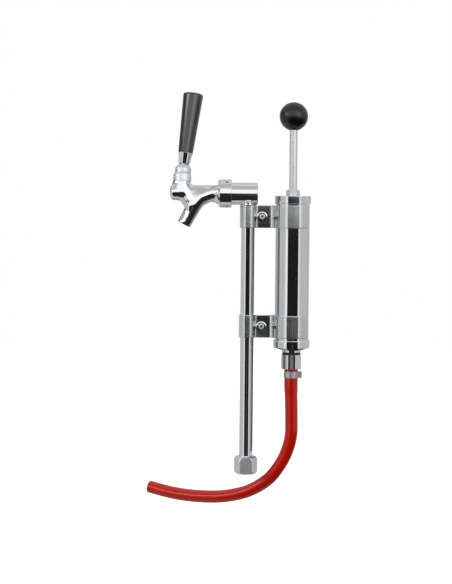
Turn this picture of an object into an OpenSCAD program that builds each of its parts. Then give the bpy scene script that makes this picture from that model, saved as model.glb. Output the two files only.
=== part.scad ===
// Keg party pump: a beer stem with a tap at its head and a hand air pump clamped beside it.
// The origin is the centre of the beer nut's mouth. +Z is up the stem and +X points to the pump.

/* [Stem] */
// Outside diameter of the beer tube
stem_od = 17.5; // [15:0.5:18]
// Wall of the beer tube
stem_wall = 2; // [1:0.25:3]
// Height of the shank's axis over the nut's mouth
shank_z = 367; // [340:1:400]

/* [Beer nut] */
// Width of the nut across its flats
nut_flats = 27; // [26:0.5:32]
// Height of the nut
nut_h = 24; // [21:0.5:30]
// Rounding of the nut's corners at both ends
nut_round = 4; // [2:0.5:5]
// Radius of the nut's thread wall
thread_r = 10.15; // [9.9:0.05:10.6]
// Length of the nut's thread
thread_len = 9; // [8:0.5:10]
// How much wider the nut's inner room is than its thread
thread_relief = 0.45; // [0.3:0.05:0.8]
// Thickness of the beer washer
washer_t = 2.3; // [1.5:0.1:3]
// Thickness of the tail flange
flange_t = 2.7; // [2:0.1:4]

/* [Shank] */
// Diameter of the shank
shank_od = 28.6; // [27:0.2:32]
// Reach of the shank in front of the stem
shank_front = 28; // [25:0.5:36]
// Reach of the shank behind the stem
shank_back = 12.6; // [11:0.2:20]
// Diameter of the shank's bore
shank_bore = 14; // [10:0.5:15]
// Thickness of the lip that holds the coupling nut
lip_t = 3; // [2:0.25:4]
// Height of the lip over the shank
lip_rise = 1.1; // [0.8:0.1:2]
// Wall of the boss round the stem
boss_wall = 1.65; // [1.5:0.05:3]
// How far the boss reaches below the shank
boss_drop = 0.3; // [0:0.1:4]
// Diameter of the stem's set screw
grub_d = 3; // [2:0.5:4]

/* [Coupling nut] */
// Length of the coupling nut
coupling_len = 17.3; // [16:0.1:22]
// Wall of the coupling nut over its thread
coupling_wall = 2.6; // [2:0.1:5]
// Thickness of the coupling nut's rear wall
coupling_back = 3.1; // [2:0.1:5]
// Diameter of the spanner holes
spanner_d = 3.2; // [2:0.2:5]
// Number of spanner holes
spanner_count = 3; // [2:1:6]
// Thickness of the coupling gasket
gasket_t = 2; // [1:0.25:3]

/* [Faucet] */
// Distance from the faucet's rear face to the lever's pivot
faucet_reach = 55.1; // [50:0.1:70]
// Diameter of the faucet's body
faucet_od = 20; // [19:0.5:24]
// Diameter of the round front of the faucet
bulge_d = 29.4; // [27:0.2:34]
// Height of the lever's pivot over the shank's axis
pivot_h = 27.6; // [26:0.2:32]
// Turn of the faucet about the shank, which takes the handle back
faucet_roll = 6; // [0:1:12]
// Lean of the neck and the handle
neck_lean = 7.1; // [3:0.1:12]
// Diameter of the neck
neck_od = 22.4; // [21.6:0.2:26]
// Swing of the handle from closed to open
lever_swing = 22; // [12:1:24]
// Diameter of the spout at its root
spout_od = 19; // [14:0.2:19.6]
// Diameter of the spout at its tip
spout_tip_od = 17.6; // [13:0.1:19]
// Bend radius of the spout
spout_bend = 30; // [26:1:40]
// Turn of the spout's bend
spout_turn = 61.5; // [50:0.5:80]
// Straight length of the spout
spout_len = 28; // [15:0.5:45]
// Diameter of the spout's bore
spout_bore = 10.8; // [8:0.2:12]
// Diameter of the bonnet
bonnet_od = 23; // [22.4:0.2:27]
// Diameter of the lever's ball
ball_d = 13; // [12:0.5:13.5]
// Diameter of the lever's stem
lever_d = 8; // [6:0.5:8]
// Diameter of the valve shaft's guide
shaft_d = 9.2; // [8.4:0.2:10]

/* [Handle] */
// Length of the ferrule
ferrule_len = 15.3; // [12:0.1:24]
// Diameter of the ferrule at its foot
ferrule_foot = 14.2; // [13:0.2:17]
// Diameter of the ferrule at its head
ferrule_head = 18.8; // [15:0.2:22]
// Length of the handle
handle_len = 79; // [50:0.5:150]
// Diameter of the handle at its foot
handle_foot = 19.3; // [16:0.1:24]
// Diameter of the handle at its head
handle_head = 26.2; // [18:0.1:32]
// Rounding of the handle's head
handle_round = 3; // [1:0.5:6]

/* [Pump] */
// Distance from the stem's axis to the pump's axis
pump_x = 58.4; // [54:0.2:75]
// Height of the barrel's lower end over the nut's mouth
pump_base = 170.5; // [160:0.5:180]
// Length of the barrel
barrel_len = 190; // [165:0.5:220]
// Outside diameter of the barrel
barrel_od = 44.2; // [38:0.2:50]
// Wall of the barrel
barrel_wall = 1.6; // [1:0.1:2.5]
// Wall of the upper cap over the barrel
upper_cap_wall = 1.25; // [1:0.05:4]
// Depth of the upper cap's skirt
upper_skirt = 7.4; // [5:0.1:14]
// Thickness of the upper cap's roof
upper_roof = 3; // [2:0.1:6]
// Wall of the lower cap over the barrel
lower_cap_wall = 1.45; // [1:0.05:4]
// Depth of the lower cap's skirt
lower_skirt = 7; // [5:0.1:9]
// Thickness of the lower cap's floor
lower_floor = 2.7; // [2:0.1:5]
// Height of the lower cap's cone
cone_h = 3.5; // [2:0.1:8]
// Diameter of the lower cap's neck
cap_neck_d = 24.6; // [22:0.2:30]
// Height of the lower cap's neck
cap_neck_h = 2.4; // [1:0.1:6]
// Thickness of the cap gaskets
cap_gasket_t = 1; // [0.5:0.1:2]
// Width of the gland nut across its flats
gland_flats = 15.6; // [15:0.2:20]
// Height of the gland nut
gland_h = 8; // [5:0.5:12]
// Depth of the gland nut's thread
gland_spigot = 5.4; // [4:0.1:8]
// Thickness of the rod's packing
packing_t = 2.7; // [2:0.1:5]
// Diameter of the rod
rod_od = 10.4; // [8:0.2:11]
// Diameter of the ball knob
knob_d = 37; // [30:0.5:50]
// How far the rod is drawn out of the pump
rod_draw = 74; // [10:1:110]

/* [Check valve] */
// Width of the valve body across its eight flats
valve_flats = 25; // [23:0.5:32]
// Height of the valve body's flats
valve_h = 19.3; // [18:0.1:28]
// Thickness of the valve gasket
valve_gasket_t = 2.9; // [1:0.1:4]
// Diameter of the valve's upper thread
valve_thread_d = 16; // [15:0.5:18]
// Diameter of the valve's chamber
valve_room_d = 12.4; // [11:0.2:13]
// Diameter of the poppet
poppet_d = 10.8; // [9.6:0.2:11]
// Wire diameter of the valve spring
wire_d = 0.9; // [0.6:0.1:1.2]
// Turns of the valve spring
spring_turns = 5; // [4:1:6]

/* [Hose] */
// Outside diameter of the air hose
hose_od = 16; // [13:0.1:18]
// Bore of the air hose
hose_id = 9; // [6:0.5:10]
// How much the barb swells the hose
hose_swell = 1.8; // [1:0.1:2.4]
// Angle of the hose behind the plane of the stem and the pump
hose_swing = 26; // [22:1:40]
// Width of the hose clamp's band
band_w = 8.5; // [6:0.5:10]
// Thickness of the hose clamp's band
band_t = 0.9; // [0.6:0.1:1.5]

/* [Clamps] */
// Height of the clamp halves
clamp_h = 29.5; // [18:0.5:40]
// Thickness of the clamp halves
strap_t = 1.9; // [1.2:0.1:3]
// Gap between the clamp halves
clamp_gap = 1.2; // [0.6:0.1:2]
// Bend of the clamp beside the stem
stem_bend = 4; // [2:0.5:6]
// Bend of the clamp beside the barrel
barrel_bend = 9; // [4:0.5:11]
// How far the clamp's arms stop short of the barrel's far side
arm_gap = 30; // [20:1:60]
// Diameter of the clamp screws
screw_d = 6; // [4:0.5:7]
// Distance from the stem's axis to the clamp screws
screw_x = 18.6; // [18:0.2:22]

/* [Clearances] */
// Gap between pieces that are fixed together
fit = 0.05; // [0.02:0.01:0.1]
// Gap round a shaft that runs in a hole
run = 0.08; // [0.03:0.01:0.1]
// Gap between loose neighbours
slack = 0.3; // [0.2:0.05:0.5]

/* [Hidden] */
$fn = 64;
cut = 1;
corner_trim = 0.15;
hose_sides = 12;
wire_sides = 6;
wire_steps = 16;

// Stem and beer nut
stem_r = stem_od / 2;
stem_bore_r = stem_r - stem_wall;
nut_room_r = thread_r + thread_relief;
flange_r = nut_room_r - 2 * slack;
washer_z = thread_len + slack;
flange_z = washer_z + washer_t;
flange_top = flange_z + flange_t;
nut_shoulder_z = flange_top + slack;

// Shank
shank_r = shank_od / 2;
shank_bore_r = shank_bore / 2;
shank_end_wall = 4.6;
shank_edge = 0.8;
lip_r = shank_r + lip_rise;
boss_r = stem_r + boss_wall;
boss_z = shank_z - shank_r - boss_drop;
socket_roof = 1;
stem_top = shank_z - shank_bore_r - socket_roof;
grub_r = grub_d / 2;
grub_bite = min(1, stem_wall / 2);
grub_z = boss_z + grub_r + 1;

// Coupling nut, measured along the shank
coupling_thread_r = lip_r + 2 * run;
coupling_r = coupling_thread_r + coupling_wall;
coupling_rear = -shank_front + lip_t + slack + coupling_back;
coupling_front = coupling_rear - coupling_len;
coupling_bevel = 2.2;
spanner_angle = 54;
spanner_depth = coupling_wall * 0.7;
spanner_x = (coupling_rear + coupling_front) / 2 + 2.6;

// Faucet, measured along the shank
faucet_x = -shank_front - gasket_t;
faucet_r = faucet_od / 2;
male_r = coupling_thread_r - fit;
male_len = faucet_x - coupling_front - 0.5;
flare_rise = 5;
flare_len = 9;
flare_r = (flare_len ^ 2 + flare_rise ^ 2) / (2 * flare_rise);
flare_x = coupling_front - 0.5;
pivot_x = faucet_x - faucet_reach;
pivot_z = shank_z + pivot_h;
bulge_r = bulge_d / 2;
bulge_x = pivot_x - 1.4;
bulge_z = shank_z + 2;
bend_x = faucet_x - 13.2;
spout_r = spout_od / 2;
spout_tip_r = spout_tip_od / 2;
spout_bore_r = spout_bore / 2;
bend_step = 0.4;

// Valve shaft and its rooms, measured along the shank
seat_washer_r = 7.3;
valve_hall_r = seat_washer_r + 1.7;
seat_hole_r = 5.5;
seat_wall = 4;
seat_x = faucet_x - 8;
body_bore_r = 7.5;
shaft_r = shaft_d / 2;
shaft_stem_r = 3;
shaft_thread_r = 2.5;
seat_washer_t = 3;
shaft_nut_t = 3.5;
shaft_nut_flats = 9;
finger_len = pivot_h / cos(neck_lean);
finger_x = pivot_x - finger_len * sin(neck_lean);
finger_tip_r = 2.2;
finger_r = 1.6;
finger_room = 2.8;
room_depth = pivot_h + 3.4;
room_top = 8;
open_lean = lever_swing - neck_lean;
guide_x = pivot_x + room_depth * tan(open_lean) + finger_room + 3;
shaft_front_x = finger_x - finger_tip_r - 3.3;
guide_front_x = shaft_front_x - 2;
shaft_step_x = guide_x + 3;
shaft_travel = pivot_h * lever_swing * PI / 180;
hall_end_x = min(seat_x + seat_washer_t + shaft_nut_t + shaft_travel + 3, -stem_r - 1);

// Bonnet and lever, measured along the leaning neck from the pivot
neck_r = neck_od / 2;
bonnet_r = bonnet_od / 2;
ball_r = ball_d / 2;
lever_r = lever_d / 2;
bonnet_foot = -12.4;
bonnet_shelf = -0.9;
bonnet_top = 9.3;
bonnet_bevel = [1.3, 2.7];
dome_r = bonnet_r;
dome_side_r = bonnet_r - 0.9;
spigot_r = bonnet_r - 2;
spigot_top = -6.9;
spigot_bore_r = spigot_r - 1.9;
friction_t = 0.5;
ball_washer_top = -2.6;
ball_washer_hole_r = 5.8;
lever_room = 0.5;
ferrule_z = bonnet_top + 0.5;
ferrule_top = ferrule_z + ferrule_len;
handle_top = ferrule_top + handle_len;
lever_top = ferrule_top + 21;

// Pump
barrel_r = barrel_od / 2;
barrel_bore_r = barrel_r - barrel_wall;
barrel_top = pump_base + barrel_len;
cap_floor_z = pump_base - cap_gasket_t;
lower_rim_z = cap_floor_z + lower_skirt;
lower_cap_r = barrel_r + fit + lower_cap_wall;
cone_top_z = cap_floor_z - lower_floor;
cone_z = cone_top_z - cone_h;
cap_neck_r = cap_neck_d / 2;
cap_neck_z = cone_z - cap_neck_h;
ceiling_z = barrel_top + cap_gasket_t;
upper_rim_z = ceiling_z - upper_skirt;
upper_cap_r = barrel_r + fit + upper_cap_wall;
cap_top_z = ceiling_z + upper_roof;
rod_r = rod_od / 2;
gland_thread_r = rod_r + 1.4;
gland_top_z = cap_top_z + gland_h;
packing_z = cap_top_z - gland_spigot - fit - packing_t;
gland_boss_r = gland_thread_r + 3.4;
gland_boss_z = packing_z - 0.8;
cap_edge = 0.6;

// Rod and piston
bottom_gap = 2;
knob_gap = 2.5;
piston_z = cap_floor_z + bottom_gap + rod_draw;
cup_h = 11;
cup_web = 2.5;
cup_wall = 2.5;
cup_washer_t = 2;
piston_nut_t = 5.5;
follower_t = 4;
stud_r = 3;
stud_nut_flats = 10;
cup_web_z = piston_z + cup_h - cup_web;
follower_z = piston_z + cup_h;
rod_foot_z = follower_z + follower_t;
piston_nut_z = cup_web_z - cup_washer_t - piston_nut_t;
cup_r = barrel_bore_r - run;
follower_r = barrel_bore_r - 2 * slack;
cup_washer_r = cup_r - cup_wall - 2.5;
knob_r = knob_d / 2;
knob_z = gland_top_z + knob_gap + rod_draw + knob_r;
rod_top_z = knob_z - 4;

// Check valve
valve_top_z = cap_neck_z - valve_gasket_t;
valve_z = valve_top_z - valve_h;
valve_thread_r = valve_thread_d / 2;
valve_thread_top = valve_top_z + 8;
valve_socket_z = valve_thread_top + 0.5;
valve_room_r = valve_room_d / 2;
valve_port_r = 3.5;
valve_bevel = 1.5;
seat_z = valve_top_z + 2;
plug_r = valve_room_r + 0.8;
plug_h = 5.3;
plug_top_z = valve_z + plug_h;
poppet_r = poppet_d / 2;
poppet_t = 3;
poppet_z = seat_z - fit - poppet_t;
poppet_pin_r = 1.8;
poppet_pin = 6.5;
spring_r = poppet_r - wire_d / 2 - 0.7;
spring_low = plug_top_z + wire_d / 2 + fit;
spring_high = poppet_z - wire_d / 2 - fit;

// Hose, each point out from the fitting's axis and down from its lower face
hose_r = hose_od / 2;
hose_bore_r = hose_id / 2;
swell_r = hose_swell / 2;
swollen_points = 3;
hose_route = [
    [0, 0.5], [0, 12], [0, 24], [-0.4, 36], [-0.9, 52], [-1.2, 68], [-1.1, 84],
    [1.9, 100], [8.3, 116.5], [17.7, 132], [29.3, 145.9], [44, 157], [61.3, 166.2], [80.5, 172.4],
    [101, 176.6], [123, 178.6], [145, 179.1], [167, 178.2], [188.5, 175.6], [209.5, 172.1]
];
barb_r = hose_bore_r + swell_r - 0.1;
barb_bore_r = hose_bore_r - 1.5;
barb_len = 24;
barb_count = 3;
band_z = valve_z - 4.2 - band_w;
band_r = hose_r + swell_r + fit;
ear_reach = 3.4;
ear_w = 6;

// Clamps
clamp_stem_r = stem_r + fit + strap_t;
clamp_barrel_r = barrel_r + fit + strap_t;
web_y = clamp_gap / 2 + strap_t;
upper_clamp_z = min(boss_z, upper_rim_z) - slack - clamp_h;
lower_clamp_z = lower_rim_z + 3;
screw_r = screw_d / 2;
screw_head_r = screw_d * 5 / 6;
screw_head_h = screw_d;
screw_washer_r = screw_d + 0.4;
screw_washer_t = 1.4;
screw_nut_flats = screw_d * 5 / 3;
screw_nut_h = screw_d * 5 / 6;
screw_tail = 1.5;

// Shapes used by several pieces
module ring(outer, inner, h) {
    difference() {
        cylinder(r = outer, h = h);
        translate([0, 0, -cut]) cylinder(r = inner, h = h + 2 * cut);
    }
}

module hex(flats, h) {
    cylinder(r = flats / 2 / cos(30), h = h, $fn = 6);
}

module on_shank(x) {
    translate([x, 0, shank_z]) rotate([0, 90, 0]) children();
}

module on_lever() {
    translate([pivot_x, 0, pivot_z]) rotate([0, neck_lean, 0]) children();
}

// Everything that turns with the faucet in its coupling
module on_faucet() {
    translate([0, 0, shank_z]) rotate([-faucet_roll, 0, 0]) translate([0, 0, -shank_z]) children();
}

module on_pump(z) {
    translate([pump_x, 0, z]) children();
}

// A turned blank with its edges bevelled, which takes the corners off a nut
module bevelled_blank(r, h, rise, inset) {
    rotate_extrude()
        polygon([[0, 0], [r - inset, 0], [r, rise], [r, h - rise], [r - inset, h], [0, h]]);
}

// Stem and beer nut
module stem_tube() {
    color("silver") difference() {
        translate([0, 0, flange_z]) cylinder(r = stem_r, h = stem_top - flange_z);
        translate([0, 0, flange_z - cut]) cylinder(r = stem_bore_r, h = stem_top - flange_z + 2 * cut);
        translate([0, grub_bite - stem_r, grub_z]) rotate([90, 0, 0])
            cylinder(r = grub_r + fit, h = grub_bite + cut);
    }
}

module tail_flange() {
    color("goldenrod") translate([0, 0, flange_z]) ring(flange_r, stem_r + fit, flange_t);
}

module beer_washer() {
    color("dimgray") translate([0, 0, washer_z]) ring(flange_r, stem_bore_r, washer_t);
}

module keg_nut_blank() {
    r = nut_flats / 2 / cos(30) - corner_trim;
    rotate_extrude() {
        square([r - nut_round, nut_h]);
        translate([0, nut_round]) square([r, nut_h - 2 * nut_round]);
        translate([r - nut_round, nut_round]) circle(nut_round);
        translate([r - nut_round, nut_h - nut_round]) circle(nut_round);
    }
}

module keg_nut() {
    color("silver") difference() {
        intersection() {
            hex(nut_flats, nut_h);
            keg_nut_blank();
        }
        translate([0, 0, -cut]) cylinder(r = thread_r, h = thread_len + 2 * cut);
        translate([0, 0, thread_len]) cylinder(r = nut_room_r, h = nut_shoulder_z - thread_len);
        translate([0, 0, nut_shoulder_z - cut]) cylinder(r = stem_r + slack, h = nut_h);
    }
}

// Shank
module shank_body() {
    color("silver") difference() {
        union() {
            on_shank(0) rotate_extrude() polygon([
                [0, -shank_front], [lip_r, -shank_front], [lip_r, lip_t - shank_front],
                [shank_r, lip_t - shank_front], [shank_r, shank_back - shank_edge],
                [shank_r - shank_edge, shank_back], [0, shank_back]
            ]);
            translate([0, 0, boss_z]) cylinder(r = boss_r, h = shank_z - boss_z);
        }
        on_shank(-shank_front - cut)
            cylinder(r = shank_bore_r, h = shank_front + cut + shank_back - shank_end_wall);
        on_shank(-shank_front - cut) cylinder(r = valve_hall_r, h = hall_end_x + shank_front + cut);
        translate([0, 0, boss_z - cut]) cylinder(r = stem_r + fit, h = stem_top - boss_z + cut);
        translate([0, 0, boss_z]) cylinder(r = stem_bore_r, h = shank_z - boss_z);
        translate([0, grub_bite - stem_r, grub_z]) rotate([90, 0, 0])
            cylinder(r = grub_r + fit, h = boss_r + cut);
    }
}

module stem_set_screw() {
    tip_y = stem_r - grub_bite + fit;
    length = boss_r - slack - tip_y;
    color("dimgray") difference() {
        translate([0, -tip_y, grub_z]) rotate([90, 0, 0]) cylinder(r = grub_r, h = length);
        translate([0, -tip_y - length / 2, grub_z]) rotate([90, 0, 0]) hex(grub_r, length);
    }
}

// Coupling nut and gasket
module coupling_nut() {
    color("silver") difference() {
        on_shank(0) rotate_extrude() polygon([
            [shank_r + slack / 2, coupling_rear], [shank_r + slack / 2, coupling_rear - coupling_back],
            [coupling_thread_r, coupling_rear - coupling_back], [coupling_thread_r, coupling_front],
            [coupling_r - coupling_bevel, coupling_front], [coupling_r, coupling_front + coupling_bevel],
            [coupling_r, coupling_rear - shank_edge], [coupling_r - shank_edge, coupling_rear]
        ]);
        for (i = [0 : spanner_count - 1])
            translate([spanner_x, 0, shank_z]) rotate([90 - spanner_angle - i * 360 / spanner_count, 0, 0])
                translate([0, 0, coupling_r - spanner_depth]) cylinder(r = spanner_d / 2, h = coupling_wall);
    }
}

module coupling_gasket() {
    color("dimgray") on_shank(faucet_x) ring(lip_r, valve_hall_r, gasket_t);
}

// Faucet
module spout_path(bend_r, root_r, tip_r, lap, reach) {
    translate([bend_x, 0, shank_z - spout_bend]) rotate([90, 0, 0]) {
        rotate([0, 0, 90]) rotate_extrude(angle = spout_turn) translate([spout_bend, 0]) circle(bend_r);
        rotate([0, 0, 90 + spout_turn]) translate([spout_bend, -lap, 0]) rotate([-90, 0, 0])
            cylinder(r1 = root_r, r2 = tip_r, h = lap + reach);
    }
}

module flare() {
    on_shank(0) rotate_extrude() difference() {
        translate([0, flare_x - flare_len]) square([faucet_r + flare_rise, flare_len]);
        translate([faucet_r + flare_r, flare_x - flare_len]) circle(flare_r);
    }
}

// The room in which the lever's finger swings
module finger_room_cut() {
    function room_left(d) = -d * tan(neck_lean) - finger_room;
    function room_right(d) = d * tan(open_lean) + finger_room;
    translate([pivot_x, 0, pivot_z]) rotate([90, 0, 0]) linear_extrude(2 * finger_room, center = true)
        polygon([
            [room_left(room_top), -room_top], [room_right(room_top), -room_top],
            [room_right(room_depth), -room_depth], [room_left(room_depth), -room_depth]
        ]);
    on_lever() translate([0, 0, bonnet_foot - 1.6]) cylinder(r = spigot_bore_r, h = -bonnet_foot);
}

module faucet_body() {
    color("silver") on_faucet() difference() {
        union() {
            on_shank(faucet_x - male_len) cylinder(r = male_r, h = male_len);
            on_shank(flare_x) cylinder(r = faucet_r + flare_rise, h = faucet_x - male_len - flare_x);
            flare();
            on_shank(bulge_x) cylinder(r = faucet_r, h = flare_x - bulge_x);
            translate([bulge_x, 0, bulge_z]) sphere(bulge_r);
            on_lever() translate([0, 0, -pivot_h]) cylinder(r = neck_r, h = pivot_h + bonnet_foot);
            on_lever() translate([0, 0, -pivot_h]) cylinder(r = spigot_r, h = pivot_h + spigot_top);
            spout_path(spout_r, spout_r, spout_tip_r, 0, spout_len);
        }
        on_shank(seat_x) cylinder(r = valve_hall_r, h = faucet_x - seat_x + cut);
        on_shank(seat_x - seat_wall - cut) cylinder(r = seat_hole_r, h = seat_wall + 2 * cut);
        on_shank(guide_x) cylinder(r = body_bore_r, h = seat_x - seat_wall - guide_x);
        on_shank(guide_front_x) cylinder(r = shaft_r + run, h = guide_x - guide_front_x + cut);
        spout_path(spout_bore_r - bend_step, spout_bore_r, spout_bore_r, bend_step, spout_len + cut);
        finger_room_cut();
    }
}

// The way that the lever's stem sweeps as the handle tilts
module lever_slot() {
    slot_r = lever_r + lever_room;
    reach = bonnet_top + 2 * slot_r;
    cylinder(r = slot_r, h = reach);
    rotate([0, -lever_swing, 0]) cylinder(r = slot_r, h = reach);
    rotate([90, 0, 0]) linear_extrude(2 * slot_r, center = true)
        polygon([[0, 0], [0, reach], [-reach * sin(lever_swing), reach * cos(lever_swing)]]);
}

module tap_bonnet() {
    color("silver") on_faucet() on_lever() difference() {
        union() {
            rotate_extrude() polygon([
                [0, bonnet_foot], [bonnet_r, bonnet_foot], [bonnet_r, bonnet_shelf - bonnet_bevel[1]],
                [bonnet_r - bonnet_bevel[0], bonnet_shelf], [0, bonnet_shelf]
            ]);
            intersection() {
                sphere(dome_r);
                translate([0, 0, bonnet_shelf]) cylinder(r = dome_side_r, h = bonnet_top - bonnet_shelf);
            }
        }
        translate([0, 0, bonnet_foot - cut])
            cylinder(r = spigot_r + fit, h = ball_washer_top - bonnet_foot + cut);
        sphere(ball_r + slack);
        lever_slot();
    }
}

module friction_washer() {
    color("saddlebrown") on_faucet() on_lever() translate([0, 0, spigot_top])
        ring(spigot_r, spigot_bore_r, friction_t);
}

module ball_washer() {
    foot = spigot_top + friction_t;
    color("ivory") on_faucet() on_lever() difference() {
        translate([0, 0, foot]) ring(spigot_r, ball_washer_hole_r, ball_washer_top - foot);
        sphere(ball_r + run);
    }
}

module tap_lever() {
    knuckle = -9;
    color("silver") on_faucet() on_lever() {
        sphere(ball_r);
        cylinder(r = lever_r, h = lever_top);
        translate([0, 0, knuckle]) cylinder(r = finger_tip_r, h = -knuckle);
        translate([0, 0, -finger_len]) cylinder(r = finger_r, h = finger_len);
        translate([0, 0, -finger_len]) sphere(finger_tip_r);
    }
}

module handle_ferrule() {
    color("silver") on_faucet() on_lever() difference() {
        translate([0, 0, ferrule_z]) cylinder(d1 = ferrule_foot, d2 = ferrule_head, h = ferrule_len);
        sphere(dome_r + slack);
        cylinder(r = lever_r + fit, h = ferrule_top + cut);
    }
}

module tap_handle() {
    arc_steps = 6;
    head_r = handle_head / 2;
    color("#151515") on_faucet() on_lever() difference() {
        rotate_extrude() polygon(concat(
            [[0, ferrule_top], [handle_foot / 2, ferrule_top]],
            [for (i = [0 : arc_steps]) let (a = 90 * i / arc_steps)
                [head_r - handle_round * (1 - cos(a)), handle_top - handle_round * (1 - sin(a))]],
            [[0, handle_top]]
        ));
        cylinder(r = lever_r + fit, h = lever_top + fit);
    }
}

// Valve shaft
module valve_shaft() {
    pocket = finger_tip_r + 0.4;
    mouth = finger_tip_r + 1.2;
    mouth_z = 1.5;
    floor_z = finger_tip_r + 0.8;
    washer_x = seat_x + seat_washer_t;
    color("silver") on_faucet() difference() {
        union() {
            on_shank(shaft_front_x) cylinder(r = shaft_r, h = shaft_step_x - shaft_front_x);
            on_shank(shaft_front_x) cylinder(r = shaft_stem_r, h = seat_x + fit - shaft_front_x);
            on_shank(shaft_front_x) cylinder(r = shaft_thread_r, h = washer_x + shaft_nut_t + 0.5 - shaft_front_x);
        }
        translate([finger_x - pocket, -pocket, shank_z - floor_z]) cube([2 * pocket, 2 * pocket, 2 * shaft_r]);
        translate([finger_x - mouth, -pocket, shank_z + mouth_z]) cube([2 * mouth, 2 * pocket, 2 * shaft_r]);
    }
}

module seat_washer() {
    color("dimgray") on_faucet() on_shank(seat_x + fit)
        ring(seat_washer_r, shaft_thread_r + fit, seat_washer_t);
}

module shaft_nut() {
    color("goldenrod") on_faucet() on_shank(seat_x + fit + seat_washer_t) difference() {
        hex(shaft_nut_flats, shaft_nut_t);
        translate([0, 0, -cut]) cylinder(r = shaft_thread_r + fit, h = shaft_nut_t + 2 * cut);
    }
}

// Pump
module pump_barrel() {
    color("silver") on_pump(pump_base) ring(barrel_r, barrel_bore_r, barrel_len);
}

module upper_cap() {
    color("silver") on_pump(0) difference() {
        union() {
            rotate_extrude() polygon([
                [0, upper_rim_z], [upper_cap_r, upper_rim_z], [upper_cap_r, cap_top_z - cap_edge],
                [upper_cap_r - cap_edge, cap_top_z], [0, cap_top_z]
            ]);
            translate([0, 0, gland_boss_z]) cylinder(r = gland_boss_r, h = cap_top_z - gland_boss_z);
        }
        translate([0, 0, upper_rim_z - cut]) difference() {
            cylinder(r = barrel_r + fit, h = ceiling_z - upper_rim_z + cut);
            translate([0, 0, gland_boss_z - upper_rim_z + cut]) cylinder(r = gland_boss_r, h = barrel_len);
        }
        translate([0, 0, packing_z]) cylinder(r = gland_thread_r + fit, h = cap_top_z - packing_z + cut);
        translate([0, 0, gland_boss_z - cut]) cylinder(r = rod_r + slack, h = packing_z - gland_boss_z + 2 * cut);
    }
}

module upper_cap_gasket() {
    color("dimgray") on_pump(barrel_top) ring(barrel_r, barrel_bore_r, cap_gasket_t);
}

module gland_nut() {
    blank_r = gland_flats / 2 / cos(30) - corner_trim;
    color("silver") on_pump(0) difference() {
        union() {
            translate([0, 0, cap_top_z]) intersection() {
                hex(gland_flats, gland_h);
                bevelled_blank(blank_r, gland_h, 1, 1.4);
            }
            translate([0, 0, cap_top_z - gland_spigot]) cylinder(r = gland_thread_r, h = gland_spigot + cut);
        }
        translate([0, 0, cap_top_z - gland_spigot - cut])
            cylinder(r = rod_r + slack, h = gland_spigot + gland_h + 2 * cut);
    }
}

module rod_packing() {
    color("dimgray") on_pump(packing_z) ring(gland_thread_r, rod_r + run, packing_t);
}

module lower_cap() {
    color("silver") on_pump(0) difference() {
        rotate_extrude() polygon([
            [0, cap_neck_z], [cap_neck_r, cap_neck_z], [cap_neck_r, cone_z], [lower_cap_r, cone_top_z],
            [lower_cap_r, lower_rim_z - cap_edge], [lower_cap_r - cap_edge, lower_rim_z], [0, lower_rim_z]
        ]);
        translate([0, 0, cap_floor_z]) cylinder(r = barrel_r + fit, h = lower_skirt + cut);
        translate([0, 0, cap_neck_z - cut])
            cylinder(r = valve_thread_r + fit, h = valve_socket_z - cap_neck_z + cut);
        translate([0, 0, cap_neck_z]) cylinder(r = valve_port_r, h = lower_rim_z - cap_neck_z);
    }
}

module lower_cap_gasket() {
    color("dimgray") on_pump(cap_floor_z) ring(barrel_r, barrel_bore_r, cap_gasket_t);
}

// Rod and piston
module pump_rod() {
    color("silver") on_pump(0) {
        translate([0, 0, rod_foot_z]) cylinder(r = rod_r, h = rod_top_z - rod_foot_z);
        translate([0, 0, piston_nut_z - 0.5]) cylinder(r = stud_r, h = rod_foot_z - piston_nut_z + cut);
    }
}

module ball_knob() {
    color("#151515") on_pump(knob_z) difference() {
        sphere(knob_r);
        translate([0, 0, -knob_r - cut]) cylinder(r = rod_r + fit, h = rod_top_z + fit - knob_z + knob_r + cut);
    }
}

module piston_follower() {
    color("silver") on_pump(follower_z) ring(follower_r, stud_r + fit, follower_t);
}

module piston_cup() {
    color("sienna") on_pump(piston_z) difference() {
        cylinder(r = cup_r, h = cup_h);
        translate([0, 0, -cut]) cylinder(r = cup_r - cup_wall, h = cup_h - cup_web + cut);
        cylinder(r = stud_r + fit, h = cup_h + cut);
    }
}

module cup_washer() {
    color("silver") on_pump(cup_web_z - cup_washer_t) ring(cup_washer_r, stud_r + fit, cup_washer_t);
}

module piston_nut() {
    color("silver") on_pump(piston_nut_z) difference() {
        hex(stud_nut_flats, piston_nut_t);
        translate([0, 0, -cut]) cylinder(r = stud_r + fit, h = piston_nut_t + 2 * cut);
    }
}

// Check valve
module valve_gasket() {
    color("#202020") on_pump(valve_top_z) ring(cap_neck_r - slack, valve_thread_r + fit, valve_gasket_t);
}

module valve_body() {
    corner_r = valve_flats / 2 / cos(22.5);
    color("silver") on_pump(0) difference() {
        union() {
            translate([0, 0, valve_z]) intersection() {
                rotate([0, 0, 22.5]) cylinder(r = corner_r, h = valve_h, $fn = 8);
                bevelled_blank(corner_r - corner_trim, valve_h, valve_bevel / 2, valve_bevel);
            }
            translate([0, 0, valve_z + cut]) cylinder(r = valve_thread_r, h = valve_thread_top - valve_z - cut);
        }
        translate([0, 0, valve_z - cut]) cylinder(r = plug_r + fit, h = plug_h + cut);
        translate([0, 0, valve_z]) cylinder(r = valve_room_r, h = seat_z - valve_z);
        translate([0, 0, valve_z]) cylinder(r = valve_port_r, h = valve_thread_top - valve_z + cut);
    }
}

module check_poppet() {
    color("#303030") on_pump(0) {
        translate([0, 0, poppet_z]) cylinder(r = poppet_r, h = poppet_t);
        translate([0, 0, poppet_z - poppet_pin]) cylinder(r = poppet_pin_r, h = poppet_pin + cut);
    }
}

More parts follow.
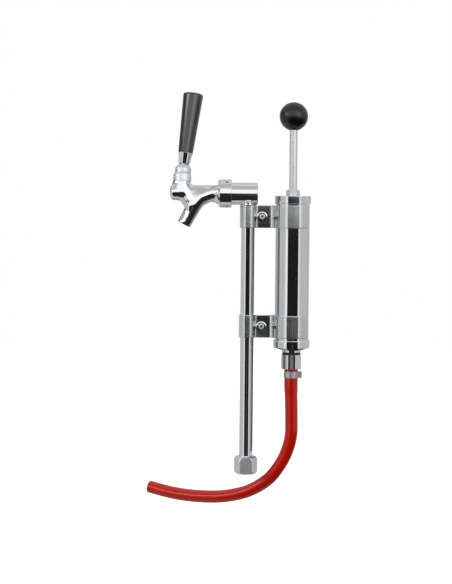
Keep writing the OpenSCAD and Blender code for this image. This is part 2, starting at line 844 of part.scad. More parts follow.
// Places round a wire ring and along a sweep of rings
function unit(v) = v / norm(v);

function ring_faces(rings, sides, step, base) = [
    for (i = [0 : rings - 2]) for (j = [0 : sides - 1])
        let (a = base + i * sides + j, b = base + i * sides + (j + 1) % sides)
            each step > 0 ? [[a, a + sides, b], [b, a + sides, b + sides]]
                          : [[a, b, a + sides], [b, b + sides, a + sides]]
];

function fan_faces(first, sides, step) = [
    for (j = [1 : sides - 2]) step > 0 ? [first, first + j, first + j + 1] : [first, first + j + 1, first + j]
];

wire_rings = spring_turns * wire_steps + 1;
wire_climb = spring_high - spring_low;

function wire_angle(i) = 360 * i / wire_steps;
function wire_height(i) = spring_low + wire_climb * i / (wire_rings - 1);
function wire_place(i) = [spring_r * cos(wire_angle(i)), spring_r * sin(wire_angle(i)), wire_height(i)];
function wire_ring(i) = [
    for (j = [0 : wire_sides - 1]) let (a = 360 * j / wire_sides, c = wire_angle(i))
        wire_place(i) + wire_d / 2 * [cos(c) * cos(a), sin(c) * cos(a), sin(a)]
];

wire_gap = min([
    for (i = [0 : wire_rings - 1]) for (k = [i + wire_steps / 2 : 1 : wire_rings - 1])
        norm(wire_place(i) - wire_place(k)) - wire_d
]);
echo(least_gap_between_spring_turns = wire_gap);

module check_spring() {
    color("gray") on_pump(0) polyhedron(
        points = [for (i = [0 : wire_rings - 1]) each wire_ring(i)],
        faces = concat(
            ring_faces(wire_rings, wire_sides, 1, 0),
            fan_faces(0, wire_sides, 1),
            fan_faces((wire_rings - 1) * wire_sides, wire_sides, -1)
        )
    );
}

// Hose and its fittings
module hose_barb() {
    pitch = barb_len / barb_count;
    color("silver") on_pump(0) difference() {
        union() {
            translate([0, 0, valve_z]) cylinder(r = plug_r, h = plug_h);
            translate([0, 0, valve_z - barb_len]) cylinder(r = barb_r - 0.6, h = barb_len + cut);
            for (i = [0 : barb_count - 1]) translate([0, 0, valve_z - barb_len + i * pitch])
                cylinder(r1 = barb_r - 0.6, r2 = barb_r, h = pitch * 0.7);
        }
        translate([0, 0, valve_z - barb_len - cut]) cylinder(r = barb_bore_r, h = barb_len + plug_h + 2 * cut);
    }
}

module hose_clamp() {
    ear_x = band_r + band_t;
    color("gray") on_pump(band_z) linear_extrude(band_w) difference() {
        union() {
            circle(band_r + band_t);
            translate([0, -ear_w / 2]) square([ear_x + ear_reach, ear_w]);
        }
        circle(band_r);
        translate([0, -ear_w / 2 + band_t]) square([ear_x + ear_reach - band_t, ear_w - 2 * band_t]);
    }
}

hose_rings = len(hose_route);

function hose_out(i) = hose_route[i][0] * [-cos(hose_swing), sin(hose_swing), 0];
function hose_place(i) = hose_out(i) + [0, 0, valve_z - hose_route[i][1]];
function hose_way(i) = unit(hose_place(min(i + 1, hose_rings - 1)) - hose_place(max(i - 1, 0)));
function hose_ring(i, r) = [
    for (j = [0 : hose_sides - 1])
        let (a = 360 * j / hose_sides, side = [sin(hose_swing), cos(hose_swing), 0])
            hose_place(i) + r * (cos(a) * side + sin(a) * cross(hose_way(i), side))
];
function hose_swollen(i) = i < swollen_points ? swell_r : 0;

module air_hose() {
    outer = [for (i = [0 : hose_rings - 1]) each hose_ring(i, hose_r + hose_swollen(i))];
    bore = (hose_bore_r + fit) / cos(180 / hose_sides);
    inner = [for (i = [0 : hose_rings - 1]) each hose_ring(i, bore + hose_swollen(i))];
    base = hose_rings * hose_sides;
    last = base - hose_sides;
    color("firebrick") on_pump(0) polyhedron(
        points = concat(outer, inner),
        faces = concat(
            ring_faces(hose_rings, hose_sides, -1, 0),
            ring_faces(hose_rings, hose_sides, 1, base),
            [for (j = [0 : hose_sides - 1]) let (k = (j + 1) % hose_sides)
                each [[j, base + j, k], [k, base + j, base + k]]],
            [for (j = [0 : hose_sides - 1]) let (k = (j + 1) % hose_sides)
                each [[last + j, last + k, base + last + j], [last + k, base + last + k, base + last + j]]]
        )
    );
}

// Clamps
function bend_reach(r, bend) = sqrt((r + bend) ^ 2 - (web_y + bend) ^ 2);

// The fill between a round and the web, up to where the bends run into the web
module bend_fill(reach, bend, bend_y, h) {
    difference() {
        linear_extrude(h) polygon([[0, 0], [reach, -bend_y], [reach, bend_y]]);
        for (side = [-1, 1]) translate([reach, side * bend_y, -cut]) cylinder(r = bend, h = h + 2 * cut);
    }
}

module clamp_block(inset, h) {
    half_web = web_y - inset;
    cylinder(r = clamp_stem_r - inset, h = h);
    translate([0, -half_web, 0]) cube([pump_x, 2 * half_web, h]);
    translate([pump_x, 0, 0]) cylinder(r = clamp_barrel_r - inset, h = h);
    bend_fill(bend_reach(clamp_stem_r, stem_bend), stem_bend + inset, web_y + stem_bend, h);
    translate([pump_x, 0, 0]) mirror([1, 0, 0])
        bend_fill(bend_reach(clamp_barrel_r, barrel_bend), barrel_bend + inset, web_y + barrel_bend, h);
}

module clamp_half() {
    far = pump_x + 2 * barrel_od;
    through = clamp_h + 2 * cut;
    difference() {
        clamp_block(0, clamp_h);
        translate([0, 0, -cut]) clamp_block(strap_t, through);
        translate([-barrel_od, -clamp_gap / 2, -cut]) cube([barrel_od + far, far, through]);
        translate([pump_x, 0, -cut]) linear_extrude(through)
            polygon([[0, 0], [far, -far * tan(arm_gap)], [far, 0]]);
        translate([screw_x, 0, clamp_h / 2]) rotate([90, 0, 0]) {
            cylinder(r = screw_r + slack, h = 2 * web_y);
            translate([0, 0, web_y]) cylinder(r = screw_washer_r + slack, h = 2 * stem_bend);
        }
    }
}

module upper_clamp_front() {
    color("lightgray") translate([0, 0, upper_clamp_z]) clamp_half();
}

module upper_clamp_rear() {
    color("lightgray") translate([0, 0, upper_clamp_z]) mirror([0, 1, 0]) clamp_half();
}

module lower_clamp_front() {
    color("lightgray") translate([0, 0, lower_clamp_z]) clamp_half();
}

module lower_clamp_rear() {
    color("lightgray") translate([0, 0, lower_clamp_z]) mirror([0, 1, 0]) clamp_half();
}

// Each clamp screw's line, with its depth running from the front web to the rear
module at_clamp_screws() {
    for (z = [upper_clamp_z, lower_clamp_z])
        translate([screw_x, 0, z + clamp_h / 2]) rotate([-90, 0, 0]) children();
}

module clamp_screws() {
    seat = web_y + screw_washer_t;
    tip = seat + screw_nut_h + screw_tail;
    color("gainsboro") at_clamp_screws() difference() {
        union() {
            translate([0, 0, -seat]) cylinder(r = screw_r, h = seat + tip);
            translate([0, 0, -seat - screw_head_h]) cylinder(r = screw_head_r, h = screw_head_h);
        }
        translate([0, 0, -seat - screw_head_h - cut]) hex(screw_d * 5 / 6, screw_head_h / 2 + cut);
    }
}

module clamp_washers() {
    color("gainsboro") at_clamp_screws() for (z = [-web_y - screw_washer_t, web_y])
        translate([0, 0, z]) ring(screw_washer_r, screw_r + fit, screw_washer_t);
}

module clamp_nuts() {
    color("gainsboro") at_clamp_screws() translate([0, 0, web_y + screw_washer_t]) difference() {
        hex(screw_nut_flats, screw_nut_h);
        translate([0, 0, -cut]) cylinder(r = screw_r + fit, h = screw_nut_h + 2 * cut);
    }
}

stem_tube();
tail_flange();
beer_washer();
keg_nut();
shank_body();
stem_set_screw();
coupling_nut();
coupling_gasket();
faucet_body();
tap_bonnet();
friction_washer();
ball_washer();
tap_lever();
handle_ferrule();
tap_handle();
valve_shaft();
seat_washer();
shaft_nut();
pump_barrel();
upper_cap();
upper_cap_gasket();
gland_nut();
rod_packing();
lower_cap();
lower_cap_gasket();
pump_rod();
ball_knob();
piston_follower();
piston_cup();
cup_washer();
piston_nut();
valve_gasket();
valve_body();
check_poppet();
check_spring();
hose_barb();
hose_clamp();
air_hose();
upper_clamp_front();
upper_clamp_rear();
lower_clamp_front();
lower_clamp_rear();
clamp_screws();
clamp_washers();
clamp_nuts();
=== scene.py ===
from math import acos, asin, atan2, cos, degrees, hypot, pi, radians, sin, sqrt, tan
import bpy
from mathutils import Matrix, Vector


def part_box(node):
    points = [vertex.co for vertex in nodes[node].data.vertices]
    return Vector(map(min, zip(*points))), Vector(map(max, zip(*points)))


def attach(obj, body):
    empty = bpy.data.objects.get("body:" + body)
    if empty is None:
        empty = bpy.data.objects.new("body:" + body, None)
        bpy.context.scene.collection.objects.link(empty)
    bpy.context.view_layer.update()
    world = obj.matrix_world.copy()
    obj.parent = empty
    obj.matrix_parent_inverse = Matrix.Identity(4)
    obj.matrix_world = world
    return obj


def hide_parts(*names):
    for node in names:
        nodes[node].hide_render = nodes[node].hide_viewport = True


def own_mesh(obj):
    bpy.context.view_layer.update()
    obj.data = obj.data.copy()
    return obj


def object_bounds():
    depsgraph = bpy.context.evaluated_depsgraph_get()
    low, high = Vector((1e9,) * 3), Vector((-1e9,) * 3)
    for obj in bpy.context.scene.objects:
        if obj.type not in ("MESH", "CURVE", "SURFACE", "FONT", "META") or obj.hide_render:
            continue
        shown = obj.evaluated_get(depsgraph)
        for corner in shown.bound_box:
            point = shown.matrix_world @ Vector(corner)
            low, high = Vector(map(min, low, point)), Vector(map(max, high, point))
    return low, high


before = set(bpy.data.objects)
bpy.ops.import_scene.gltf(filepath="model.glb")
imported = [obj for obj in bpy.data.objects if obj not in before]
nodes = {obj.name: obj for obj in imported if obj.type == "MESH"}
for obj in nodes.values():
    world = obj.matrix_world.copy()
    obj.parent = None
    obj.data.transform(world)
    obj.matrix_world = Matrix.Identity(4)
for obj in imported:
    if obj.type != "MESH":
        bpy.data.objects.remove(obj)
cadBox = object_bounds()
mm = 0.001
bpy.context.scene.view_settings.view_transform = "Standard"
print("frame loaded,", len(nodes), "nodes")


# camera, set where the photograph was taken from
cameraSetup = {"side": -27.7 * mm, "distance": 2.3, "height": 367 * mm, "aimHeight": 238.6 * mm,
               "lens": 108.8, "roll": 0.5}

bpy.ops.object.camera_add(location=(cameraSetup["side"], -cameraSetup["distance"], cameraSetup["height"]))
camera = bpy.context.object
camera.data.lens = cameraSetup["lens"]
camera.data.clip_start = 0.05
aim = Vector((cameraSetup["side"], 0, cameraSetup["aimHeight"])) - camera.location
camera.rotation_euler = aim.to_track_quat("-Z", "Y").to_euler()
camera.rotation_euler.rotate_axis("Z", radians(cameraSetup["roll"]))
bpy.context.scene.camera = camera
print("camera placed")


def selectOnly(piece=None):
    if bpy.context.object and bpy.context.object.mode != "OBJECT":
        bpy.ops.object.mode_set(mode="OBJECT")
    bpy.ops.object.select_all(action="DESELECT")
    if piece:
        bpy.context.view_layer.objects.active = piece
        piece.select_set(True)


def addShape(add, **settings):
    selectOnly()
    add(**settings)
    return bpy.context.object


# node trees
def hexColour(code):
    channels = [int(code[i:i + 2], 16) / 255 for i in (1, 3, 5)]
    linear = [c / 12.92 if c <= 0.04045 else ((c + 0.055) / 1.055) ** 2.4 for c in channels]
    return (*linear, 1)


def setInputs(tree, node, inputs):
    for key, value in inputs.items():
        if isinstance(value, bpy.types.NodeSocket):
            tree.links.new(value, node.inputs[key])
        else:
            node.inputs[key].default_value = value


def addNode(tree, kind, inputs=None, **settings):
    node = tree.nodes.new(kind)
    for key, value in settings.items():
        setattr(node, key, value)
    setInputs(tree, node, inputs or {})
    return node


def startMaterial(name, colour, **sockets):
    material = bpy.data.materials.new(name)
    material.use_nodes = True
    tree = material.node_tree
    shader = tree.nodes["Principled BSDF"]
    setInputs(tree, shader, {"Base Color": hexColour(colour), **sockets})
    return material, tree, shader, addNode(tree, "ShaderNodeTexCoord").outputs["Object"]


# a noise of a real size clouds the roughness between dull and the colour between tones
# bump is a pattern, its size, strength and depth
def cloudedFinish(name, colour, size, detail=2.0, span=(0.0, 1.0), dull=None, tones=None, bump=None, **sockets):
    material, tree, shader, spot = startMaterial(name, colour, **sockets)
    cloud = addNode(tree, "ShaderNodeTexNoise", {"Vector": spot, "Scale": 1 / size, "Detail": detail}).outputs[0]
    if dull:
        rough = addNode(tree, "ShaderNodeMapRange", {"Value": cloud, "From Min": span[0], "From Max": span[1],
                                                     "To Min": dull[0], "To Max": dull[1]})
        setInputs(tree, shader, {"Roughness": rough.outputs[0]})
    if tones:
        tone = addNode(tree, "ShaderNodeMix", {"Factor": cloud, "A": hexColour(tones[0]), "B": hexColour(tones[1])},
                       data_type="RGBA")
        setInputs(tree, shader, {"Base Color": tone.outputs["Result"]})
    if bump:
        kind, size, strength, depth = bump
        height = addNode(tree, kind, {"Vector": spot, "Scale": 1 / size}).outputs[0]
        relief = addNode(tree, "ShaderNodeBump", {"Height": height, "Strength": strength, "Distance": depth})
        setInputs(tree, shader, {"Normal": relief.outputs[0]})
    return material


# studio: a pale room whose light falls off over the object, with panels hung round it, all in degrees
studio = {"wall": 0.54,
          "sky": [(6, 3, 0.66), (52, 10, 0.5), (84, 10, 0.7), (130, 20, 0.6)],  # up the front, then down the back
          "panels": [  # azimuth, elevation, soft edges at sides, foot and top, light. Each covers those before
              ("back on the right", (128, 190), (-75, 5), (8, 3, 3), 0.44),
              ("back on the left", (-190, -150), (-75, 5), (10, 3, 3), 0.36),
              ("back strip on the right", (150, 190), (-30, 1), (3, 5, 1), 0.9),
              ("back strip on the left", (-190, -150), (-30, 1), (3, 5, 1), 0.9),
              ("dark back on the right", (164, 190), (-30, 1), (1, 5, 1), 0.02),
              ("dark back on the left", (-190, -164), (-30, 1), (1, 5, 1), 0.02),
              ("flag on the left", (-175, -60), (6, 24), (5, 2, 5), 0.25),
              ("strip light on the left", (-80, -46), (14, 19), (4, 1.5, 1.5), 8.0),
              ("soft box", (-42, 64), (2.4, 38), (3, 0.8, 7), 1.14),
              ("brighter end", (12, 58), (2.8, 30), (4, 0.8, 7), 1.9),
              ("left strip", (-50, -30), (-75, 1), (3, 3, 0.5), 0.95),
              ("right strip", (36, 51), (-75, 1), (3, 3, 0.5), 0.8),
              ("dark front", (-34, 39), (-77, 1), (1, 3, 0.5), 0.012),
              ("dark table", (-60, 112), (-77, -12), (6, 3, 2), 0.02),
              ("camera gap", (1, 5), (-17, -4.8), (1, 6, 0.5), 0.19)]}


def buildStudio():
    world = bpy.data.worlds.new("studioRoom")
    world.use_nodes = True
    bpy.context.scene.world = world
    tree = world.node_tree
    coords = addNode(tree, "ShaderNodeTexCoord")
    axes = addNode(tree, "ShaderNodeSeparateXYZ", {0: coords.outputs["Generated"]})
    toCamera = addNode(tree, "ShaderNodeMath", {0: axes.outputs["Y"], 1: -1.0}, operation="MULTIPLY").outputs[0]
    azimuth = addNode(tree, "ShaderNodeMath", {0: axes.outputs["X"], 1: toCamera}, operation="ARCTAN2").outputs[0]
    elevation = addNode(tree, "ShaderNodeMath", {0: axes.outputs["Z"]}, operation="ARCSINE").outputs[0]
    climb = addNode(tree, "ShaderNodeMath", {0: axes.outputs["Z"], 1: toCamera}, operation="ARCTAN2").outputs[0]
    layers = [("sky", [(climb, limit, soft, 0.0)], light) for limit, soft, light in studio["sky"]]
    for part, (left, right), (foot, top), (side, low, high), light in studio["panels"]:
        layers.append((part, [(azimuth, left, side, 0.0), (azimuth, right, side, 1.0),
                              (elevation, foot, low, 0.0), (elevation, top, high, 1.0)], light))
    room = studio["wall"]
    for part, edges, light in layers:
        mask = 1.0
        for angle, limit, soft, start in edges:  # each edge goes from start to its opposite across a soft limit
            edge = addNode(tree, "ShaderNodeMapRange",
                           {"Value": angle, "From Min": radians(limit - soft),
                            "From Max": radians(limit + soft), "To Min": start, "To Max": 1.0 - start},
                           interpolation_type="SMOOTHSTEP")
            mask = addNode(tree, "ShaderNodeMath", {0: mask, 1: edge.outputs[0]}, operation="MULTIPLY").outputs[0]
        room = addNode(tree, "ShaderNodeMix", {"Factor": mask, "A": room, "B": light},
                       data_type="FLOAT", label=part).outputs[0]
    seen = addNode(tree, "ShaderNodeLightPath")  # the camera sees plain white paper behind
    paper = addNode(tree, "ShaderNodeMix", {"Factor": seen.outputs["Is Camera Ray"], "A": room, "B": 1.0},
                    data_type="FLOAT", label="paper")
    setInputs(tree, tree.nodes["Background"], {"Color": hexColour("#ffffff"), "Strength": paper.outputs[0]})


buildStudio()

floorSetup = {"size": 12.0, "drop": 0.3, "colour": "#f6f6f4", "tooth": 40 * mm, "glow": 0.6}
cardSetup = {"low": 27 * mm, "high": 366 * mm,
             "cards": [(29 * mm, -11.4 * mm, -5.2 * mm, 0.14), (29 * mm, -0.6 * mm, 60 * mm, 0.06),
                       (29.4 * mm, -5.2 * mm, 60 * mm, 0.42)]}  # x, front and back edge, light


def layFloor():  # matt white paper with a faint tooth
    material = cloudedFinish("paperFloor", floorSetup["colour"], floorSetup["tooth"],
                             bump=("ShaderNodeTexNoise", floorSetup["tooth"], 0.02, 0.2 * mm),
                             **{"Roughness": 0.9, "Emission Strength": floorSetup["glow"]})
    floor = addShape(bpy.ops.mesh.primitive_plane_add, size=floorSetup["size"],
                     location=(0, 0, cadBox[0].z - floorSetup["drop"]))
    floor.name = "floor"
    floor.data.materials.append(material)
    floor.visible_glossy = floor.visible_diffuse = False


def hangCards():  # grey cards between stem and pump that only their reflections show, none beside a clamp
    lower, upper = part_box("lower_clamp_front"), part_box("upper_clamp_front")
    heights = [(cardSetup["low"], lower[0].z), (lower[1].z, upper[0].z), (upper[1].z, cardSetup["high"])]
    for x, front, back, light in cardSetup["cards"]:
        material = startMaterial("greyCard", "#000000", **{"Roughness": 1.0, "Emission Strength": light})[0]
        for low, high in heights:
            card = addShape(bpy.ops.mesh.primitive_plane_add, size=1, rotation=(0, pi / 2, 0),
                            location=(x, (front + back) / 2, (low + high) / 2))
            card.name = "greyCard"
            card.scale = (high - low, back - front, 1)
            bpy.ops.object.transform_apply()
            card.data.materials.append(material)
            card.visible_camera = card.visible_diffuse = card.visible_shadow = False


layFloor()
hangCards()
print("studio ready")


# materials
def brushedStainless(name, colour, roughness, brushed):  # strip brushed lengthwise: reflections smear
    material, tree, shader, spot = startMaterial(name, colour, Metallic=1.0, Anisotropic=brushed)
    stretch = addNode(tree, "ShaderNodeMapping",  # real brush lines are 0.1 mm wide, drawn coarser to show
                      {"Vector": spot, "Scale": (1 / (30 * mm), 1 / (30 * mm), 1 / (1.5 * mm))})
    brush = addNode(tree, "ShaderNodeTexNoise", {"Vector": stretch.outputs[0], "Scale": 1.0, "Detail": 2.0})
    dull = addNode(tree, "ShaderNodeMapRange", {"Value": brush.outputs[0], "From Min": 0.3, "From Max": 0.7,
                                                "To Min": roughness - 0.015, "To Max": roughness + 0.015})
    setInputs(tree, shader, {"Anisotropic Rotation": 0.25, "Roughness": dull.outputs[0]})
    return material


def turnedBrass():  # bare brass off the lathe: yellow, with fine tool rings
    material, tree, shader, spot = startMaterial("turnedBrass", "#c79a4b", Metallic=1.0)
    rings = addNode(tree, "ShaderNodeTexWave", {"Vector": spot, "Scale": 1 / (1.5 * mm), "Distortion": 0.6},
                    bands_direction="Z")
    dull = addNode(tree, "ShaderNodeMapRange", {"Value": rings.outputs["Fac"], "To Min": 0.2, "To Max": 0.32})
    setInputs(tree, shader, {"Roughness": dull.outputs[0]})
    return material


def satinPlate(name, roughness):  # chrome over a bead-blasted blank: grey and soft, a little cloudy
    return cloudedFinish(name, "#e8eaec", 4 * mm, 3.0, span=(0.3, 0.7), dull=(roughness - 0.03, roughness + 0.03),
                         Metallic=1.0)


def blackPhenolic(name, roughness, polish):  # moulded phenolic: deep black with a polished skin, faint orange peel
    return cloudedFinish(name, "#050505", 1.6 * mm, span=(0.3, 0.7), dull=(roughness - 0.03, roughness + 0.03),
                         bump=("ShaderNodeTexNoise", 1.6 * mm, 0.05, 0.1 * mm),
                         **{"IOR": 1.6, "Coat Weight": polish, "Coat IOR": 1.6, "Coat Roughness": roughness})


finish = {
    "chrome": cloudedFinish("chromePlate", "#e9ebee", 24 * mm, 4.0,  # mirror sharp, with faint ripples and smudges
                            span=(0.45, 0.75), dull=(0.045, 0.085),
                            bump=("ShaderNodeTexNoise", 9 * mm, 0.03, 0.3 * mm), Metallic=1.0),
    "satin": satinPlate("satinPlate", 0.46), "rod": satinPlate("satinRod", 0.3), "nut": satinPlate("satinNut", 0.34),
    "strap": brushedStainless("brushedStainless", "#dfe1e2", 0.126, 0.8),
    "band": brushedStainless("bandStainless", "#c4c6c7", 0.34, 0.5),
    "web": brushedStainless("pressedStainless", "#dfe1e2", 0.09, 0.0),
    "washer": brushedStainless("washerStainless", "#dfe1e2", 0.08, 0.0),
    "steel": cloudedFinish("oiledSteelAndRecessShade", "#8a8c8f", 1.2 * mm, dull=(0.24, 0.4), Metallic=1.0),  # grey and dull; on the coupling nut's hole walls and in the screws' sockets it is painted shade of the recess
    "brass": turnedBrass(),
    "handle": blackPhenolic("blackPhenolicHandle", 0.12, 0.7),
    "ball": blackPhenolic("blackPhenolicBall", 0.32, 0.0),
    "rubber": cloudedFinish("nitrileRubber", "#121212", 2 * mm, tones=("#0b0b0b", "#1d1c1b"),  # black, a fine bloom
                            Roughness=0.6),
    "nylon": cloudedFinish("naturalNylon", "#e6e2d4", 4 * mm, tones=("#dcd7c6", "#efebe0"),  # milky white and waxy
                           **{"Roughness": 0.45, "Subsurface Weight": 0.1,
                              "Subsurface Radius": (1 * mm, 0.8 * mm, 0.6 * mm)}),
    "fibre": cloudedFinish("pressedFibre", "#6e3322", 0.8 * mm, tones=("#5c2a1c", "#80402c"),  # red-brown and dry
                           Roughness=0.7),
    "leather": cloudedFinish("oiledLeather", "#6a4326", 9 * mm, tones=("#4b2c17", "#7c5232"),  # brown, oiled dark
                             bump=("ShaderNodeTexVoronoi", 0.7 * mm, 0.3, 0.1 * mm), Roughness=0.55),
    "hose": cloudedFinish("redVinyl", "#cf1802", 15 * mm, 3.0, dull=(0.13, 0.18),  # blood red and glossy
                          tones=("#c81601", "#d61a03"), IOR=1.48)}
print("materials ready")


# modelling steps
weld = 0.002 * mm


def applyModifier(piece, kind, **settings):
    selectOnly(piece)
    step = piece.modifiers.new(kind.lower(), kind)
    for key, value in settings.items():
        setattr(step, key, value)
    bpy.ops.object.modifier_apply(modifier=step.name)


def editAll(piece):
    selectOnly(piece)
    bpy.ops.object.mode_set(mode="EDIT")
    bpy.ops.mesh.select_all(action="SELECT")


def cleanMesh(piece):
    editAll(piece)
    bpy.ops.mesh.remove_doubles(threshold=weld)
    bpy.ops.mesh.normals_make_consistent(inside=False)
    bpy.ops.object.mode_set(mode="OBJECT")


def drawLine(name, points):  # one point, drawn out along a line that is left selected in edit mode
    piece = addShape(bpy.ops.mesh.primitive_plane_add, size=mm, location=(0, 0, 0))
    piece.name = name
    bpy.ops.object.mode_set(mode="EDIT")
    bpy.ops.mesh.merge(type="CENTER")
    bpy.ops.transform.translate(value=points[0])
    for start, end in zip(points, points[1:]):
        bpy.ops.mesh.extrude_region_move(
            TRANSFORM_OT_translate={"value": [b - a for a, b in zip(start, end)]})
    bpy.ops.mesh.select_all(action="SELECT")
    return piece


def turn(name, outline, steps=96):  # an outline of radius and height, turned on the lathe
    piece = drawLine(name, [(r, 0, z) for r, z in outline])
    bpy.ops.mesh.spin(steps=steps, angle=2 * pi, center=(0, 0, 0), axis=(0, 0, 1))
    cleanMesh(piece)
    return piece


def turnRod(name, radius, low, high, steps=96):
    return turn(name, [(0, low), (radius, low), (radius, high), (0, high)], steps)


def turnTube(name, node, wall, steps=96):  # a plain tube in a node's place
    low, high, r = sizeOf(node)
    inner = r - wall
    return turn(name, [(inner, low), (r, low), (r, high), (inner, high), (inner, low)], steps)


def raiseOutline(name, outline, low, high, filled=False):  # an outline drawn up into a wall, or a solid if filled
    piece = drawLine(name, [(x, y, low) for x, y in outline])
    if filled:
        bpy.ops.mesh.remove_doubles(threshold=weld)
        bpy.ops.mesh.edge_face_add()
    bpy.ops.mesh.extrude_region_move(TRANSFORM_OT_translate={"value": (0, 0, high - low)})
    cleanMesh(piece)
    return piece


def drawTube(name, route, radius, resolution, widths=None, caps=False):  # a round tube drawn along a route
    line = bpy.data.curves.new(name, "CURVE")
    line.dimensions = "3D"
    line.twist_mode = "MINIMUM"
    line.bevel_depth = radius
    line.bevel_resolution = resolution
    line.use_fill_caps = caps
    spline = line.splines.new("POLY")
    spline.points.add(len(route) - 1)
    for point, spot, width in zip(spline.points, route, widths or [1] * len(route)):
        point.co = (*spot, 1)
        point.radius = width
    tube = bpy.data.objects.new(name, line)
    bpy.context.scene.collection.objects.link(tube)
    selectOnly(tube)
    bpy.ops.object.convert(target="MESH")
    tube = bpy.context.object
    cleanMesh(tube)
    return tube


def arc(centre, radius, start, end, steps):
    angles = [radians(start + (end - start) * i / steps) for i in range(steps + 1)]
    return [(centre[0] + radius * cos(a), centre[1] + radius * sin(a)) for a in angles]


def prism(name, flats, sides, low, high):  # a flat of the prism faces the front
    piece = addShape(bpy.ops.mesh.primitive_cylinder_add, vertices=sides, radius=flats / 2 / cos(pi / sides),
                     depth=high - low, location=(0, 0, (low + high) / 2), rotation=(0, 0, pi / sides))
    piece.name = name
    bpy.ops.object.transform_apply()
    return piece


def carve(piece, tool, operation="DIFFERENCE"):
    applyModifier(piece, "BOOLEAN", object=tool, operation=operation, solver="EXACT")
    bpy.data.objects.remove(tool)


def cutFlat(piece, spot, normal):
    editAll(piece)
    bpy.ops.mesh.bisect(plane_co=spot, plane_no=normal, use_fill=True, clear_outer=True)
    bpy.ops.object.mode_set(mode="OBJECT")


def sinkBore(piece, spot, direction, radius, depth):
    direction = Vector(direction).normalized()
    carve(piece, addShape(bpy.ops.mesh.primitive_cylinder_add, vertices=64, radius=radius, depth=depth + 2 * mm,
                          location=Vector(spot) + direction * (depth / 2 - mm),
                          rotation=direction.to_track_quat("Z", "Y").to_euler()))


def softenEdges(piece, width, segments=3, angle=32):
    applyModifier(piece, "BEVEL", width=width, segments=segments, limit_method="ANGLE",
                  angle_limit=radians(angle), harden_normals=False)


def place(piece, location=(0, 0, 0), rotation=(0, 0, 0)):
    selectOnly(piece)
    piece.location = location
    piece.rotation_euler = rotation
    bpy.ops.object.transform_apply()


def widenPiece(piece, size):
    selectOnly(piece)
    bpy.ops.transform.resize(value=size)
    bpy.ops.object.transform_apply()


def swellBall(spot, size):  # a ball drawn out to its three half widths
    piece = addShape(bpy.ops.mesh.primitive_uv_sphere_add, segments=48, ring_count=24, radius=1, location=spot)
    piece.scale = size
    bpy.ops.object.transform_apply()
    return piece


def copyPiece(piece, name):
    twin = piece.copy()
    twin.data = piece.data.copy()
    twin.name = name
    bpy.context.scene.collection.objects.link(twin)
    return twin


def dress(piece, finishName, slotName, body, *replaced, angle=35):
    selectOnly(piece)
    bpy.ops.object.shade_smooth_by_angle(angle=radians(angle))
    applyModifier(piece, "WEIGHTED_NORMAL", keep_sharp=True)  # a wide face stays true beside its bevel
    piece.data.materials.clear()
    piece.data.materials.append(finish[finishName])
    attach(piece, body)
    if replaced:
        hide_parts(*replaced)
    selectOnly()


def middle(node):
    low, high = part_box(node)
    return (low + high) / 2


def radiusOf(node, axis="x"):
    low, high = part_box(node)
    return getattr(high - low, axis) / 2


def sizeOf(node):  # foot, top and radius of an upright node
    low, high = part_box(node)
    return low.z, high.z, radiusOf(node)


# air hose, hanging from the pump and curling back behind the stem
hose = {"across": 16.6 * mm, "bore": 9 * mm, "swell": 0.6 * mm, "swollen": 3, "swing": 26,
        "sides": 40, "between": 6, "edge": 0.5 * mm,
        "route": [(0, 0.5), (0, 12), (0, 24), (-0.4, 36), (-0.9, 52), (-1.2, 68), (-1.1, 84), (1.9, 100),
                  (8.3, 116.5), (17.7, 132), (29.3, 145.9), (44, 157), (61.3, 166.2), (80.5, 172.4),
                  (101, 176.6), (123, 178.6), (145, 179.1), (167, 178.2), (188.5, 175.6), (209.5, 172.1)]}


def hosePlace(out, down):
    swing = radians(hose["swing"])
    fitting = middle("valve_body")
    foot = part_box("valve_body")[0].z
    return Vector((fitting.x - out * mm * cos(swing), fitting.y + out * mm * sin(swing),
                   foot - down * mm))


def smoothRoute(points, between):
    route = []
    ends = [points[0] * 2 - points[1], *points, points[-1] * 2 - points[-2]]
    for before, start, end, after in zip(ends, ends[1:], ends[2:], ends[3:]):
        for i in range(between):
            t = i / between
            route.append(0.5 * (2 * start + (end - before) * t + (2 * before - 5 * start + 4 * end - after) * t ** 2
                                + (3 * start - before - 3 * end + after) * t ** 3))
    return [*route, points[-1]]


def buildHose():
    points = [hosePlace(*p) for p in hose["route"]]
    route = smoothRoute(points, hose["between"])
    full = 1 + 2 * hose["swell"] / hose["across"]
    lastSwollen = (hose["swollen"] - 1) * hose["between"]
    widths = []
    for i in range(len(route)):
        ease = min(max((i - lastSwollen) / hose["between"], 0), 1)
        widths.append(full + (1 - full) * ease * ease * (3 - 2 * ease))
    tube = drawTube("airHose", route, hose["across"] / 2, hose["sides"] // 4 - 2, widths)
    applyModifier(tube, "SOLIDIFY", thickness=(hose["across"] - hose["bore"]) / 2, offset=-1)
    softenEdges(tube, hose["edge"], angle=60)
    dress(tube, "hose", "red_vinyl", "stem", "air_hose", angle=50)
    tube.visible_glossy = False  # no red shows in the photo's chrome


buildHose()


# beer stem and its keg nut
stem = {"wall": 2 * mm}
kegNut = {"flats": 27 * mm, "round": 5.5 * mm, "thread": 10.15 * mm, "threadDepth": 0.9 * mm, "pitch": 1.814 * mm,
          "threadLength": 9 * mm, "room": 10.6 * mm, "shoulder": 14.6 * mm, "stemHole": 9.05 * mm,
          "edge": 0.35 * mm}


def buildStem():
    dress(turnTube("stemTube", "stem_tube", stem["wall"]), "chrome", "chrome", "stem", "stem_tube")


